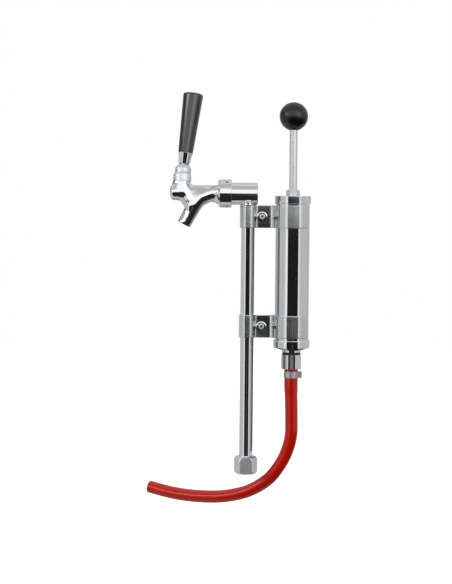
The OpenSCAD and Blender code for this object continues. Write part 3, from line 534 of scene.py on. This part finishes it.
def buildKegNut():
    low, high, corner = sizeOf("keg_nut")
    k = kegNut
    nut = prism("kegNut", k["flats"], 6, low, high)
    inside = corner - k["round"]
    blank = turn("kegNutBlank", [(0, low), *arc((inside, low + k["round"]), k["round"], -90, 0, 10),
                                 *arc((inside, high - k["round"]), k["round"], 0, 90, 10), (0, high)], 120)
    carve(nut, blank, "INTERSECT")
    mouth = low - mm
    turns = int(k["threadLength"] / k["pitch"])
    screwed = []
    for i in range(turns):
        foot = low + (k["threadLength"] - turns * k["pitch"]) / 2 + i * k["pitch"]
        screwed += [(k["thread"], foot), (k["thread"] + k["threadDepth"], foot + k["pitch"] / 2)]
    bore = turn("kegNutBore", [(0, mouth), (k["thread"] + k["threadDepth"] + mm, mouth),
                               (k["thread"], low + k["threadDepth"]), *screwed[1:],
                               (k["thread"], low + k["threadLength"]),
                               (k["room"], low + k["threadLength"]), (k["room"], low + k["shoulder"]),
                               (k["stemHole"], low + k["shoulder"]), (k["stemHole"], high + mm),
                               (0, high + mm)])
    carve(nut, bore)
    softenEdges(nut, k["edge"], angle=24)
    dress(nut, "nut", "chrome", "nut", "keg_nut", angle=24)


buildStem()
buildKegNut()
print("stem and keg nut made")


# shank, lying across the stem's head, and the ring nut that holds the tap to it
shank = {"lip": 1.1 * mm, "lipLength": 3 * mm, "edge": 0.8 * mm, "bossRadius": 10.4 * mm,
         "dome": (5.9 * mm, 5 * mm, 4.8 * mm), "domeOut": -9.2 * mm, "domeUp": mm, "screwHole": 1.3 * mm,
         "holeUp": 2.5 * mm, "holeDepth": 4 * mm, "bore": 7 * mm, "endWall": 4.6 * mm, "roof": mm, "fit": 0.05 * mm,
         "hallGap": 1.7 * mm, "travel": 13.7 * mm, "soft": 0.3 * mm}
ringNut = {"wall": 2.6 * mm, "bevel": 2.2 * mm, "hole": 3.2 * mm, "holeDepth": 1.8 * mm, "holes": 3,
           "holeAngle": 36, "holeAside": 2.6 * mm, "edge": 0.5 * mm, "lip": 1.1 * mm, "lipLength": 3.1 * mm,
           "soft": 0.25 * mm, "holeMargin": 0.3 * mm}
alongShank = (0, pi / 2, 0)


def buildShank():
    low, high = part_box("shank_body")
    axis = middle("coupling_nut").z
    r = radiusOf("shank_body", "y") - shank["lip"]
    back, front, foot, e = high.x, low.x, low.z, shank["edge"]
    lipEnd = front + shank["lipLength"]
    barrel = turn("shankBody", [(0, front), (r + shank["lip"], front), (r + shank["lip"], lipEnd),
                                (r, lipEnd), (r, back - e), (r - e, back), (0, back)])
    place(barrel, (0, 0, axis), alongShank)
    carve(barrel, turnRod("shankBoss", shank["bossRadius"], foot, axis), "UNION")
    dome = swellBall((0, shank["domeOut"], foot + shank["domeUp"]), shank["dome"])
    cutFlat(dome, (0, 0, foot), (0, 0, -1))
    carve(barrel, dome, "UNION")
    stemRadius = radiusOf("stem_tube")
    hallRadius = radiusOf("seat_washer", "y") + shank["hallGap"]
    hallEnd = min(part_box("shaft_nut")[1].x + shank["travel"], -stemRadius - mm)
    screwFace = (0, shank["domeOut"] - shank["dome"][1], foot + shank["holeUp"])
    sinkBore(barrel, screwFace, (0, 1, 0), shank["screwHole"], shank["holeDepth"])
    sinkBore(barrel, (front, 0, axis), (1, 0, 0), shank["bore"], back - shank["endWall"] - front)
    sinkBore(barrel, (front, 0, axis), (1, 0, 0), hallRadius, hallEnd - front)
    socketDepth = axis - shank["bore"] - shank["roof"] - foot
    sinkBore(barrel, (0, 0, foot), (0, 0, 1), stemRadius + shank["fit"], socketDepth)
    sinkBore(barrel, (0, 0, foot), (0, 0, 1), stemRadius - stem["wall"], axis - foot)
    softenEdges(barrel, shank["soft"])
    dress(barrel, "chrome", "chrome", "stem", "shank_body")


def buildRingNut():
    low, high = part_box("coupling_nut")
    centre = middle("coupling_nut")
    r = radiusOf("coupling_nut", "y")
    n = ringNut
    bore = r - n["wall"]
    inner, lipEnd = bore - n["lip"], high.x - n["lipLength"]
    nut = turn("couplingNut", [(bore, low.x), (r - n["bevel"], low.x), (r, low.x + n["bevel"]),
                               (r, high.x - n["edge"]), (r - n["edge"], high.x), (inner, high.x),
                               (inner, lipEnd), (bore, lipEnd), (bore, low.x)], 128)
    place(nut, (0, 0, centre.z), alongShank)
    for i in range(n["holes"]):
        lean = radians(n["holeAngle"] - i * 360 / n["holes"])
        spot = (centre.x + n["holeAside"], -sin(lean) * r, centre.z + cos(lean) * r)
        carve(nut, addShape(bpy.ops.mesh.primitive_cylinder_add, vertices=32, radius=n["hole"] / 2,
                            depth=2 * n["holeDepth"], location=spot, rotation=(lean, 0, 0)))
    softenEdges(nut, n["soft"], angle=30)
    dress(nut, "chrome", "chrome", "stem", "coupling_nut", angle=30)
    nut.data.materials.append(finish["steel"])
    for face in nut.data.polygons:  # the holes' walls get the darker steel finish as painted shade of the recess
        aside = abs(face.center.x - centre.x - n["holeAside"])
        out = hypot(face.center.y, face.center.z - centre.z)
        if aside < n["hole"] / 2 + 0.01 * mm and bore + n["holeMargin"] < out < r - n["holeMargin"]:
            face.material_index = 1


buildShank()
buildRingNut()
print("shank made")


# tap: a cast body whose pipe forks to a nose, a neck and a spout, then its bonnet, ferrule and handle
tap = {"lean": 7.1, "roll": 6, "pivot": (-85.1 * mm, 0, 394.6 * mm), "tube": 10.6 * mm, "lap": 6 * mm,
       "flare": 15.2 * mm, "flareLength": 9 * mm, "flareGap": 0.5 * mm, "nose": 10.2 * mm, "noseRise": 0.8 * mm,
       "noseEnd": -101.9 * mm, "noseRound": 4.5 * mm, "noseLength": 17.5 * mm, "noseWidth": 1.25,
       "pipe": 10.2 * mm, "pipeWidth": 0.95,
       "fills": [((-77 * mm, 0, 358.5 * mm), (11 * mm, 13.2 * mm, 10.5 * mm)),
                 ((-76.2 * mm, 0, 349.5 * mm), (6.4 * mm, 12.8 * mm, 11 * mm)),
                 ((-64 * mm, 0, 362 * mm), (18 * mm, 11.8 * mm, 11 * mm))],
       "throat": 10.5 * mm, "throatWidth": 1.22, "throatTop": (-87 * mm, 0, 378.7 * mm),
       "throatFoot": (-70.5 * mm, 0, 349 * mm), "neck": 11.8 * mm, "neckTop": -12.4 * mm, "neckFoot": -24 * mm,
       "neckBore": 7.6 * mm, "neckDepth": 14 * mm, "bendX": -43.2 * mm, "bend": 30 * mm, "turn": 61.5,
       "spoutSteps": 24, "spoutRoot": 10.1 * mm, "spoutTip": 9.2 * mm, "spoutWidth": 1.28, "spoutLength": 28 * mm,
       "spare": 4 * mm, "bore": 5.4 * mm, "voxel": 0.75 * mm, "smoothing": 150}
leaning = (0, radians(tap["lean"]), 0)
neckWay = Vector((sin(leaning[1]), 0, cos(leaning[1])))


def rollTap(piece):
    roll = radians(tap["roll"])
    axis = middle("coupling_nut").z
    place(piece, (0, -axis * sin(roll), axis * (1 - cos(roll))), (-roll, 0, 0))


def leanPlace(height):
    return Vector(tap["pivot"]) + neckWay * height


def buildSpout(axis):
    centre = Vector((tap["bendX"], 0, axis - tap["bend"]))
    spout = addShape(bpy.ops.mesh.primitive_circle_add, vertices=48, radius=tap["tube"], fill_type="NGON",
                     location=(tap["bendX"], 0, axis), rotation=(0, pi / 2, 0))
    bpy.ops.object.transform_apply()
    angle = radians(tap["turn"])
    along = Vector((-cos(angle), 0, -sin(angle)))
    editAll(spout)
    steps = tap["spoutSteps"]
    narrow = (tap["spoutRoot"] / tap["tube"]) ** (1 / steps)
    widen = tap["spoutWidth"] ** (2 / steps)  # in the first half of the bend
    for step in range(steps):
        bpy.ops.mesh.spin(steps=1, angle=angle / steps, center=centre, axis=(0, 1, 0))
        bpy.ops.transform.resize(value=(narrow, narrow * widen if step < steps / 2 else narrow, narrow))
    bpy.ops.mesh.extrude_region_move(
        TRANSFORM_OT_translate={"value": along * (tap["spoutLength"] + tap["spare"])})
    shrink = tap["spoutTip"] / tap["spoutRoot"]
    bpy.ops.transform.resize(value=(shrink, shrink / tap["spoutWidth"], shrink))
    cleanMesh(spout)
    root = centre + Vector((-sin(angle), 0, cos(angle))) * tap["bend"]
    return spout, root + along * tap["spoutLength"], along


def buildTapBody():
    axis = middle("coupling_nut").z
    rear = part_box("coupling_nut")[0].x
    flareEnd = rear - tap["flareGap"]
    rise = tap["flare"] - tap["tube"]
    bow = (tap["flareLength"] ** 2 + rise ** 2) / (2 * rise)
    reach = degrees(asin(tap["flareLength"] / bow))
    waist = [(tap["tube"] + bow - bow * cos(radians(reach * i / 8)),
              flareEnd - tap["flareLength"] + bow * sin(radians(reach * i / 8))) for i in range(9)]
    pipeEnd = tap["bendX"] - tap["lap"]
    body = turn("faucetBody", [(0, pipeEnd), (tap["tube"], pipeEnd), *waist, (tap["flare"], rear + tap["lap"]),
                               (0, rear + tap["lap"])], 64)
    place(body, (0, 0, axis), alongShank)
    inside, noseRear = tap["nose"] - tap["noseRound"], tap["noseEnd"] + tap["noseLength"]
    nose = turn("tapNose", [(0, tap["noseEnd"]),
                            *arc((inside, tap["noseEnd"] + tap["noseRound"]), tap["noseRound"], -90, 0, 8),
                            (tap["nose"], noseRear), (0, noseRear)], 64)
    place(nose, (0, 0, axis + tap["noseRise"]), alongShank)
    widenPiece(nose, (1, tap["noseWidth"], 1))
    pipe = turnRod("tapPipe", tap["pipe"], tap["noseEnd"] + tap["noseLength"] / 2, pipeEnd + tap["lap"] / 2, 64)
    place(pipe, (0, 0, axis + tap["noseRise"]), alongShank)
    widenPiece(pipe, (1, tap["pipeWidth"], 1))
    top, foot = Vector(tap["throatTop"]), Vector(tap["throatFoot"])
    throat = turnRod("throat", tap["throat"], 0, (top - foot).length, 64)
    place(throat, foot, (top - foot).to_track_quat("Z", "Y").to_euler())
    widenPiece(throat, (1, tap["throatWidth"], 1))
    fills = [swellBall(spot, size) for spot, size in tap["fills"]]
    neck = turnRod("neck", tap["neck"], tap["neckFoot"], tap["neckTop"] + tap["spare"], 64)
    place(neck, tap["pivot"], leaning)
    spout, tip, along = buildSpout(axis)
    for part in (nose, pipe, throat, neck, spout, *fills):
        carve(body, part, "UNION")
    applyModifier(body, "REMESH", mode="VOXEL", voxel_size=tap["voxel"], use_smooth_shade=True)
    applyModifier(body, "SMOOTH", factor=0.5, iterations=tap["smoothing"])
    cutFlat(body, tip, along)
    cutFlat(body, leanPlace(tap["neckTop"]), neckWay)
    sinkBore(body, tip, -along, tap["bore"], tap["spoutLength"])
    sinkBore(body, leanPlace(tap["neckTop"]), -neckWay, tap["neckBore"], tap["neckDepth"])
    rollTap(body)
    dress(body, "chrome", "chrome", "stem", "faucet_body", angle=50)


buildTapBody()
print("tap body made")

bonnet = {"ring": 11.75 * mm, "ringMiddle": -6.6 * mm, "foot": -6.7 * mm, "ringTop": 5 * mm, "edge": 0.5 * mm,
          "bevel": (1.3 * mm, 2.7 * mm), "shelf": -0.9 * mm, "groove": 0.35 * mm, "side": 10.6 * mm,
          "dome": 11.5 * mm, "top": 9.3 * mm, "skirt": 9.55 * mm, "ceiling": -2.6 * mm, "slot": 4.5 * mm,
          "slotReach": 14 * mm, "swing": 22, "room": 6.8 * mm, "soft": 0.25 * mm}
ferrule = {"from": 9.8 * mm, "to": 25.1 * mm, "foot": 7.1 * mm, "head": 9.4 * mm, "bore": 4.05 * mm,
           "dish": 11.8 * mm, "dishEdge": 58, "round": 2 * mm, "roundOut": 0.3 * mm,
           "roundArc": (-44, -7), "edge": 0.4 * mm}
handle = {"to": 104.1 * mm, "foot": 9.65 * mm, "head": 13.1 * mm, "round": 3 * mm, "edge": 0.6 * mm,
          "bore": 4.05 * mm, "boreTop": 46.2 * mm, "crown": 0.5 * mm, "roundArc": (2, 84)}


def buildBonnet():
    b = bonnet
    sideTop = degrees(acos(b["side"] / b["dome"]))
    roof = degrees(asin(b["top"] / b["dome"]))
    inset, rise = b["bevel"]
    waist = b["side"] - 2 * b["groove"]
    cap = turn("tapBonnet", [(0, b["ceiling"]), (waist, b["ceiling"]), (waist, b["shelf"]),
                             (b["side"], b["shelf"] + b["groove"]),
                             *arc((0, 0), b["dome"], sideTop, roof, 8), (0, b["top"])])
    ring = turn("bonnetRing", [(b["skirt"], b["foot"]), (b["ring"] - b["edge"], b["foot"]),
                               (b["ring"], b["foot"] + b["edge"]), (b["ring"], b["ringTop"] - rise),
                               (b["ring"] - inset, b["ringTop"]), (b["skirt"], b["ringTop"]),
                               (b["skirt"], b["foot"])])
    place(ring, leanPlace(b["ringMiddle"]))
    slot = addShape(bpy.ops.mesh.primitive_cylinder_add, vertices=48, radius=b["slot"], depth=b["slotReach"],
                    location=(0, 0, b["slotReach"] / 2))
    bpy.ops.object.transform_apply()
    bpy.ops.object.mode_set(mode="EDIT")
    bpy.ops.mesh.select_all(action="DESELECT")
    bpy.ops.object.mode_set(mode="OBJECT")
    for vertex in slot.data.vertices:  # the far side of its top leans out as far as the lever swings
        vertex.select = vertex.co.x < -0.1 * mm and vertex.co.z > b["slotReach"] / 2
    bpy.ops.object.mode_set(mode="EDIT")
    bpy.ops.transform.translate(value=(-b["slotReach"] * tan(radians(b["swing"])), 0, 0))
    bpy.ops.object.mode_set(mode="OBJECT")
    carve(cap, slot)
    carve(cap, addShape(bpy.ops.mesh.primitive_uv_sphere_add, segments=48, ring_count=24, radius=b["room"],
                        location=(0, 0, 0)))
    place(cap, tap["pivot"], leaning)
    carve(cap, ring, "UNION")
    softenEdges(cap, b["soft"], angle=30)
    rollTap(cap)
    dress(cap, "satin", "chrome", "stem", "tap_bonnet", angle=30)


def buildFerrule():
    f = ferrule
    high = degrees(acos(f["bore"] / f["dish"]))
    lip = (f["foot"] - f["round"] + f["roundOut"], f["from"] + f["round"])
    cone = turn("handleFerrule", [(f["bore"], f["to"]), *arc((0, 0), f["dish"], high, f["dishEdge"], 6),
                                  *arc(lip, f["round"], *f["roundArc"], 6), (f["head"], f["to"]),
                                  (f["bore"], f["to"])])
    softenEdges(cone, f["edge"], angle=40)
    place(cone, tap["pivot"], leaning)
    rollTap(cone)
    dress(cone, "chrome", "chrome", "lever", "handle_ferrule", angle=30)


def buildHandle():
    h = handle
    low = ferrule["to"]
    centre = (h["head"] - h["round"], h["to"] - h["crown"] - h["round"])
    grip = turn("tapHandle", [(h["bore"], low), (h["foot"] - h["edge"], low), (h["foot"], low + h["edge"]),
                              *arc(centre, h["round"], *h["roundArc"], 9),
                              (h["head"] / 2, h["to"] - h["crown"] / 4), (0, h["to"]),
                              (0, h["boreTop"]), (h["bore"], h["boreTop"]), (h["bore"], low)])
    place(grip, tap["pivot"], leaning)
    rollTap(grip)
    dress(grip, "handle", "black_plastic", "lever", "tap_handle", angle=30)


buildBonnet()
buildFerrule()
buildHandle()
print("tap bonnet and handle made")


# air pump: barrel, end caps, rod and ball
pump = {"wall": 1.6 * mm, "edge": 0.6 * mm, "edgeArc": (20, 90), "roof": 3 * mm, "fit": 0.05 * mm,
        "bossRadius": 10 * mm, "rodHole": 5.5 * mm, "rodEdge": 0.3 * mm, "stud": 3 * mm, "skirt": 7.4 * mm,
        "rimBevel": (0.7 * mm, 0.6 * mm), "coneHeight": 3.5 * mm, "coneEdge": (0.3 * mm, 0.2 * mm),
        "neckHeight": 2.4 * mm, "neckRadius": 12.3 * mm, "socket": 8.05 * mm}
gland = {"flats": 15.6 * mm, "bevel": (1.4 * mm, 1.9 * mm), "leadIn": 0.8 * mm, "past": 0.2 * mm, "edge": 1.1 * mm}
ball = {"radius": 18.5 * mm, "hole": 5.25 * mm}
pumpX = middle("pump_barrel").x


def buildBarrel():
    tube = turnTube("pumpBarrel", "pump_barrel", pump["wall"], 160)
    place(tube, (pumpX, 0, 0))
    dress(tube, "chrome", "chrome", "stem", "pump_barrel")


def buildUpperCap():
    low, high, r = sizeOf("upper_cap")
    inner = radiusOf("pump_barrel") + pump["fit"]
    ceiling = high - pump["roof"]
    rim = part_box("upper_cap_gasket")[1].z - pump["skirt"]
    inset, rise = pump["rimBevel"]
    e = pump["edge"]
    cap = turn("upperCap", [(inner, rim), (r - inset, rim), (r, rim + rise), (r, high - e),
                            *arc((r - e, high - e), e, *pump["edgeArc"], 4), (pump["rodHole"], high),
                            (pump["rodHole"], low), (pump["bossRadius"], low), (pump["bossRadius"], ceiling),
                            (inner, ceiling), (inner, rim)], 160)
    place(cap, (pumpX, 0, 0))
    dress(cap, "chrome", "chrome", "stem", "upper_cap", angle=25)


def buildGland():
    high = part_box("gland_nut")[1].z
    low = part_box("upper_cap")[1].z
    corner = gland["flats"] / 2 / cos(pi / 6)
    inset, rise = gland["bevel"]
    hole, leadIn, past = pump["rodHole"], gland["leadIn"], high + gland["past"]
    nut = prism("glandNut", gland["flats"], 6, low, high)
    blank = turn("glandBlank", [(0, low - mm), (corner + mm, low - mm), (corner + mm, high - rise),
                                (corner - inset, high), (0, high)])
    carve(nut, blank, "INTERSECT")
    carve(nut, turn("glandBore", [(0, low - mm), (hole, low - mm), (hole, past - leadIn), (hole + leadIn, past),
                                  (0, past)]))
    softenEdges(nut, gland["edge"], segments=5, angle=28)
    place(nut, (pumpX, 0, 0))
    dress(nut, "satin", "chrome", "stem", "gland_nut", angle=28)


def buildRod():
    low, high, r = sizeOf("pump_rod")
    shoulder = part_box("piston_follower")[1].z
    stud, e = pump["stud"], pump["rodEdge"]
    rod = turn("pumpRod", [(0, low), (stud, low), (stud, shoulder), (r - e, shoulder),
                           (r, shoulder + e), (r, high), (0, high)])
    place(rod, (pumpX, 0, 0))
    dress(rod, "rod", "chrome", "rod", "pump_rod")


def buildBall():
    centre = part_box("ball_knob")[1].z - ball["radius"]
    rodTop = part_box("pump_rod")[1].z
    start = -degrees(acos(ball["hole"] / ball["radius"]))
    knob = turn("ballKnob", [(0, rodTop - centre), (ball["hole"], rodTop - centre),
                             *arc((0, 0), ball["radius"], start, 90, 44)])
    place(knob, (pumpX, 0, centre))
    dress(knob, "ball", "black_plastic", "rod", "ball_knob")


def buildLowerCap():
    low, high, r = sizeOf("lower_cap")
    inner = radiusOf("pump_barrel") + pump["fit"]
    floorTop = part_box("lower_cap_gasket")[0].z
    neckTop = low + pump["neckHeight"]
    coneTop = neckTop + pump["coneHeight"]
    inset, drop = pump["coneEdge"]
    e = pump["edge"]
    cap = turn("lowerCap", [(pump["socket"], low), (pump["neckRadius"], low), (pump["neckRadius"], neckTop),
                            (r - inset, coneTop - drop), (r, coneTop + inset), (r, high - e),
                            *arc((r - e, high - e), e, *pump["edgeArc"], 4), (inner, high), (inner, floorTop),
                            (pump["socket"], floorTop), (pump["socket"], low)], 160)
    place(cap, (pumpX, 0, 0))
    dress(cap, "chrome", "chrome", "stem", "lower_cap", angle=25)


for build in (buildBarrel, buildUpperCap, buildGland, buildRod, buildBall, buildLowerCap):
    build()
print("air pump made")


# check valve under the pump, its gasket and the hose clamp
gasket = {"round": 0.5 * mm}
valve = {"flats": 25.8 * mm, "sides": 8, "corner": 7.2 * mm, "bevel": (1.5 * mm, 0.75 * mm), "edge": 0.3 * mm,
         "plug": 7.05 * mm, "plugDepth": 5.3 * mm, "chamber": 6.2 * mm, "way": 3.5 * mm, "wayLength": 6 * mm,
         "thread": 8 * mm}
spring = {"wire": 0.9 * mm, "turns": 5, "steps": 20, "lift": 3 * mm}
eared = {"rise": 1 * mm, "thick": 0.9 * mm, "ear": 3.4 * mm, "earWidth": 6 * mm, "corner": 1 * mm, "flat": 0.2 * mm,
         "edge": 0.2 * mm}


def buildGasket():
    low, high, r = sizeOf("valve_gasket")
    e = gasket["round"]
    band = turn("valveGasket", [(valve["thread"], low), *arc((r - e, low + e), e, -90, 0, 4),
                                *arc((r - e, high - e), e, 0, 90, 4), (valve["thread"], high),
                                (valve["thread"], low)])
    place(band, (pumpX, 0, 0))
    dress(band, "rubber", "black_rubber", "stem", "valve_gasket")


def buildValve():
    v = valve
    low, top = sizeOf("valve_body")[:2]
    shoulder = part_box("valve_gasket")[0].z
    half = 180 / v["sides"]
    corner = v["flats"] / 2 / cos(pi / v["sides"])
    out = corner - v["corner"] / cos(pi / v["sides"])
    outline = []
    for i in range(v["sides"]):
        turned = half + i * 2 * half
        spot = (out * cos(radians(turned)), out * sin(radians(turned)))
        outline += arc(spot, v["corner"], turned - half, turned + half, 8)
    body = raiseOutline("valveBody", [*outline, outline[0]], low, shoulder, filled=True)
    inset, rise = v["bevel"]
    past = mm * rise / inset
    carve(body, turn("valveBlank", [(0, low), (corner - inset, low), (corner + mm, low + rise + past),
                                    (corner + mm, shoulder - rise - past), (corner - inset, shoulder),
                                    (0, shoulder)]), "INTERSECT")
    carve(body, turnRod("valveThread", v["thread"], shoulder - mm, top), "UNION")
    plugEnd, wayFoot = low + v["plugDepth"], top - v["wayLength"]
    carve(body, turn("valveMouth", [(0, low - mm), (v["plug"], low - mm), (v["plug"], plugEnd),
                                    (v["chamber"], plugEnd), (v["chamber"], wayFoot), (v["way"], wayFoot),
                                    (v["way"], top + mm), (0, top + mm)]))
    softenEdges(body, v["edge"], angle=28)
    place(body, (pumpX, 0, 0))
    dress(body, "chrome", "chrome", "stem", "valve_body", angle=28)


def buildHoseClamp():
    low, high = sizeOf("hose_clamp")[:2]
    inner = radiusOf("hose_clamp", "y") - eared["thick"]
    half = eared["earWidth"] / 2 - eared["thick"]
    earX = inner + eared["ear"] + eared["thick"]
    start = degrees(asin(half / inner))
    c = eared["corner"]
    earFoot = earX - c - eared["flat"]
    loop = [*arc((0, 0), inner, start, 360 - start, 72), (earFoot, -half),
            *arc((earX - c, -half + c), c, -90, 0, 4), *arc((earX - c, half - c), c, 0, 90, 4),
            (earFoot, half), arc((0, 0), inner, start, start, 1)[0]]
    band = raiseOutline("hoseClamp", loop, low, high)
    applyModifier(band, "SOLIDIFY", thickness=eared["thick"], offset=1)
    cleanMesh(band)
    softenEdges(band, eared["edge"], segments=2, angle=40)
    place(band, (pumpX, 0, eared["rise"]))
    dress(band, "band", "satin_steel", "stem", "hose_clamp", angle=40)


def buildSpring():
    low, high, outer = sizeOf("check_spring")
    wire = spring["wire"]
    radius, climb = outer - wire / 2, high - low - wire
    steps = spring["turns"] * spring["steps"]
    route = []
    for i in range(steps + 1):
        angle = 2 * pi * i / spring["steps"]
        route.append((pumpX + radius * cos(angle), radius * sin(angle),
                      low + wire / 2 + climb * i / steps))
    coil = drawTube("checkSpring", route, wire / 2, 2, caps=True)
    dress(coil, "steel", "satin_steel", "stem", "check_spring", angle=60)
    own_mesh(coil)


for build in (buildGasket, buildValve, buildSpring, buildHoseClamp):
    build()
print("check valve made")


# strap clamps: each half is one strip, bent round the stem and the barrel
clamp = {"thick": 1.9 * mm, "gap": 1.2 * mm, "fit": 0.05 * mm, "stemBend": 4 * mm, "barrelBend": 9 * mm,
         "armGap": 30, "screwX": 18.6 * mm, "hole": 3.3 * mm, "drill": 20 * mm, "web": (13 * mm, 28 * mm),
         "webFacing": 0.95, "edge": 0.85 * mm}
screw = {"thread": 3 * mm, "tip": 0.6 * mm, "head": 3.6 * mm, "headHeight": 5 * mm, "round": 0.6 * mm,
         "socket": 3.6 * mm, "socketDepth": 3.4 * mm, "tail": 1.5 * mm, "edge": 0.2 * mm}
washer = {"radius": 6.6 * mm, "thick": 1.4 * mm, "flat": 5.1 * mm, "slope": 36, "gap": 0.05 * mm}
screwNut = {"flats": 10 * mm, "height": 5 * mm, "edge": 0.4 * mm}
levels = ("upper", "lower")
seat = clamp["gap"] / 2 + clamp["thick"]


def strapOutline():
    web = clamp["gap"] / 2
    stemR = radiusOf("stem_tube") + clamp["fit"]
    barrelR = radiusOf("pump_barrel") + clamp["fit"]
    thick = clamp["thick"]

    def bendAt(r, bend):
        across = sqrt((r + thick + bend) ** 2 - (web + thick + bend) ** 2)
        lean = degrees(atan2(web + thick + bend, across))
        return across, lean

    stemReach, stemLean = bendAt(stemR, clamp["stemBend"])
    barrelReach, barrelLean = bendAt(barrelR, clamp["barrelBend"])
    stemBendY = -(web + thick + clamp["stemBend"])
    barrelBendY = -(web + thick + clamp["barrelBend"])
    start = degrees(asin(web / stemR))
    return [*arc((0, 0), stemR, 180 + start, 360 - stemLean, 30),
            *arc((stemReach, stemBendY), clamp["stemBend"] + thick, 180 - stemLean, 90, 8)[1:],
            *arc((pumpX - barrelReach, barrelBendY), clamp["barrelBend"] + thick, 90, barrelLean, 10),
            *arc((pumpX, 0), barrelR, 180 + barrelLean, 360 - clamp["armGap"], 36)[1:]]


def buildStrap(low, high):
    strap = raiseOutline("strap", strapOutline(), low, high)
    applyModifier(strap, "SOLIDIFY", thickness=clamp["thick"], offset=1, use_even_offset=True)
    carve(strap, addShape(bpy.ops.mesh.primitive_cylinder_add, vertices=48, radius=clamp["hole"],
                          depth=clamp["drill"], location=(clamp["screwX"], 0, (low + high) / 2),
                          rotation=(pi / 2, 0, 0)))
    softenEdges(strap, clamp["edge"], angle=40)
    return strap


def pressWeb(strap, side):  # the screw's pressing leaves the web smoother than the strip
    strap.data.materials.append(finish["web"])
    for face in strap.data.polygons:
        if clamp["web"][0] < face.center.x < clamp["web"][1] and face.normal.y * side > clamp["webFacing"]:
            face.material_index = 1


def setStraps():  # one strap, copied to both levels in front and mirrored behind
    low, high = sizeOf("upper_clamp_front")[:2]
    strap = buildStrap(low, high)
    for level in levels:
        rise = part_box(level + "_clamp_front")[0].z - low
        for end, side in (("Front", -1), ("Rear", 1)):
            twin = copyPiece(strap, level + "Clamp" + end)
            twin.scale = (1, -side, 1)
            place(twin, (0, 0, rise))
            if side > 0:
                cleanMesh(twin)
            dress(twin, "strap", "satin_steel", "stem", level + "_clamp_" + end.lower(), angle=40)
            pressWeb(twin, side)
    bpy.data.objects.remove(strap)


setStraps()
print("clamps made")


def turnScrew():  # each is turned along Z with its seat at zero and its face below
    s = screw
    top = -washer["thick"] - s["headHeight"]
    tip = 2 * seat + washer["thick"] + screwNut["height"] + s["tail"]
    shaft = turn("clampScrew", [(0, top), *arc((s["head"] - s["round"], top + s["round"]), s["round"], -90, 0, 6),
                                (s["head"], -washer["thick"]), (s["thread"], -washer["thick"]),
                                (s["thread"], tip - s["tip"]), (s["thread"] - s["tip"], tip), (0, tip)], 64)
    carve(shaft, prism("hexKey", s["socket"], 6, top - mm, top + s["socketDepth"]))
    softenEdges(shaft, s["edge"], angle=40)
    return shaft


def turnWasher():
    w = washer
    hole = screw["thread"] + w["gap"]
    bow = (w["radius"] - w["flat"]) / sin(radians(w["slope"]))
    return turn("clampWasher", [(hole, -w["thick"]),
                                *arc((w["flat"], bow - w["thick"]), bow, -90, w["slope"] - 90, 8),
                                (w["radius"], 0), (hole, 0), (hole, -w["thick"])], 64)


def turnNut():
    low = -washer["thick"] - screwNut["height"]
    hole = screw["thread"] + washer["gap"]
    nut = prism("clampNut", screwNut["flats"], 6, low, -washer["thick"])
    carve(nut, turnRod("nutBore", hole, low - mm, mm, 48))
    softenEdges(nut, screwNut["edge"], angle=40)
    return nut


def setCopies(piece, name, sides):  # one copy at each clamp on each given side, joined into one group
    copies = []
    for level in levels:
        for side in sides:
            twin = copyPiece(piece, name)
            place(twin, (clamp["screwX"], side * seat, middle(level + "_clamp_front").z), (side * pi / 2, 0, 0))
            copies.append(twin)
    bpy.data.objects.remove(piece)
    selectOnly(copies[0])
    for twin in copies:
        twin.select_set(True)
    bpy.ops.object.join()
    return bpy.context.object


def paintSocketShade(screws):  # the key's socket gets the darker steel finish as painted shade of the recess
    screws.data.materials.append(finish["steel"])
    heights = [middle(level + "_clamp_front").z for level in levels]
    rim = min(vertex.co.y for vertex in screws.data.vertices) + screw["edge"]
    reach = screw["socket"] * 0.6  # just past the hexagon's corners
    for face in screws.data.polygons:
        off = min(abs(face.center.z - height) for height in heights)
        out = hypot(face.center.x - clamp["screwX"], off)
        if out < reach and face.center.y > rim:
            face.material_index = 1


clampScrews = setCopies(turnScrew(), "clampScrews", [-1])
dress(clampScrews, "satin", "satin_steel", "stem", "clamp_screws")
paintSocketShade(clampScrews)
dress(setCopies(turnWasher(), "clampWashers", [-1, 1]), "washer", "satin_steel", "stem", "clamp_washers")
dress(setCopies(turnNut(), "clampNuts", [1]), "washer", "satin_steel", "stem", "clamp_nuts")
print("screws made")


# the inner pieces keep their own solids and get a finish
innerFinish = {"steel": ["stem_set_screw", "piston_follower", "cup_washer", "piston_nut", "valve_shaft"],
               "brass": ["tail_flange", "shaft_nut"], "chrome": ["tap_lever", "hose_barb"],
               "rubber": ["beer_washer", "coupling_gasket", "seat_washer", "upper_cap_gasket", "rod_packing",
                          "lower_cap_gasket", "check_poppet"],
               "nylon": ["ball_washer"], "fibre": ["friction_washer"], "leather": ["piston_cup"]}
for finishName, names in innerFinish.items():
    for name in names:
        nodes[name].data.materials.clear()
        nodes[name].data.materials.append(finish[finishName])
print("inner pieces dressed")
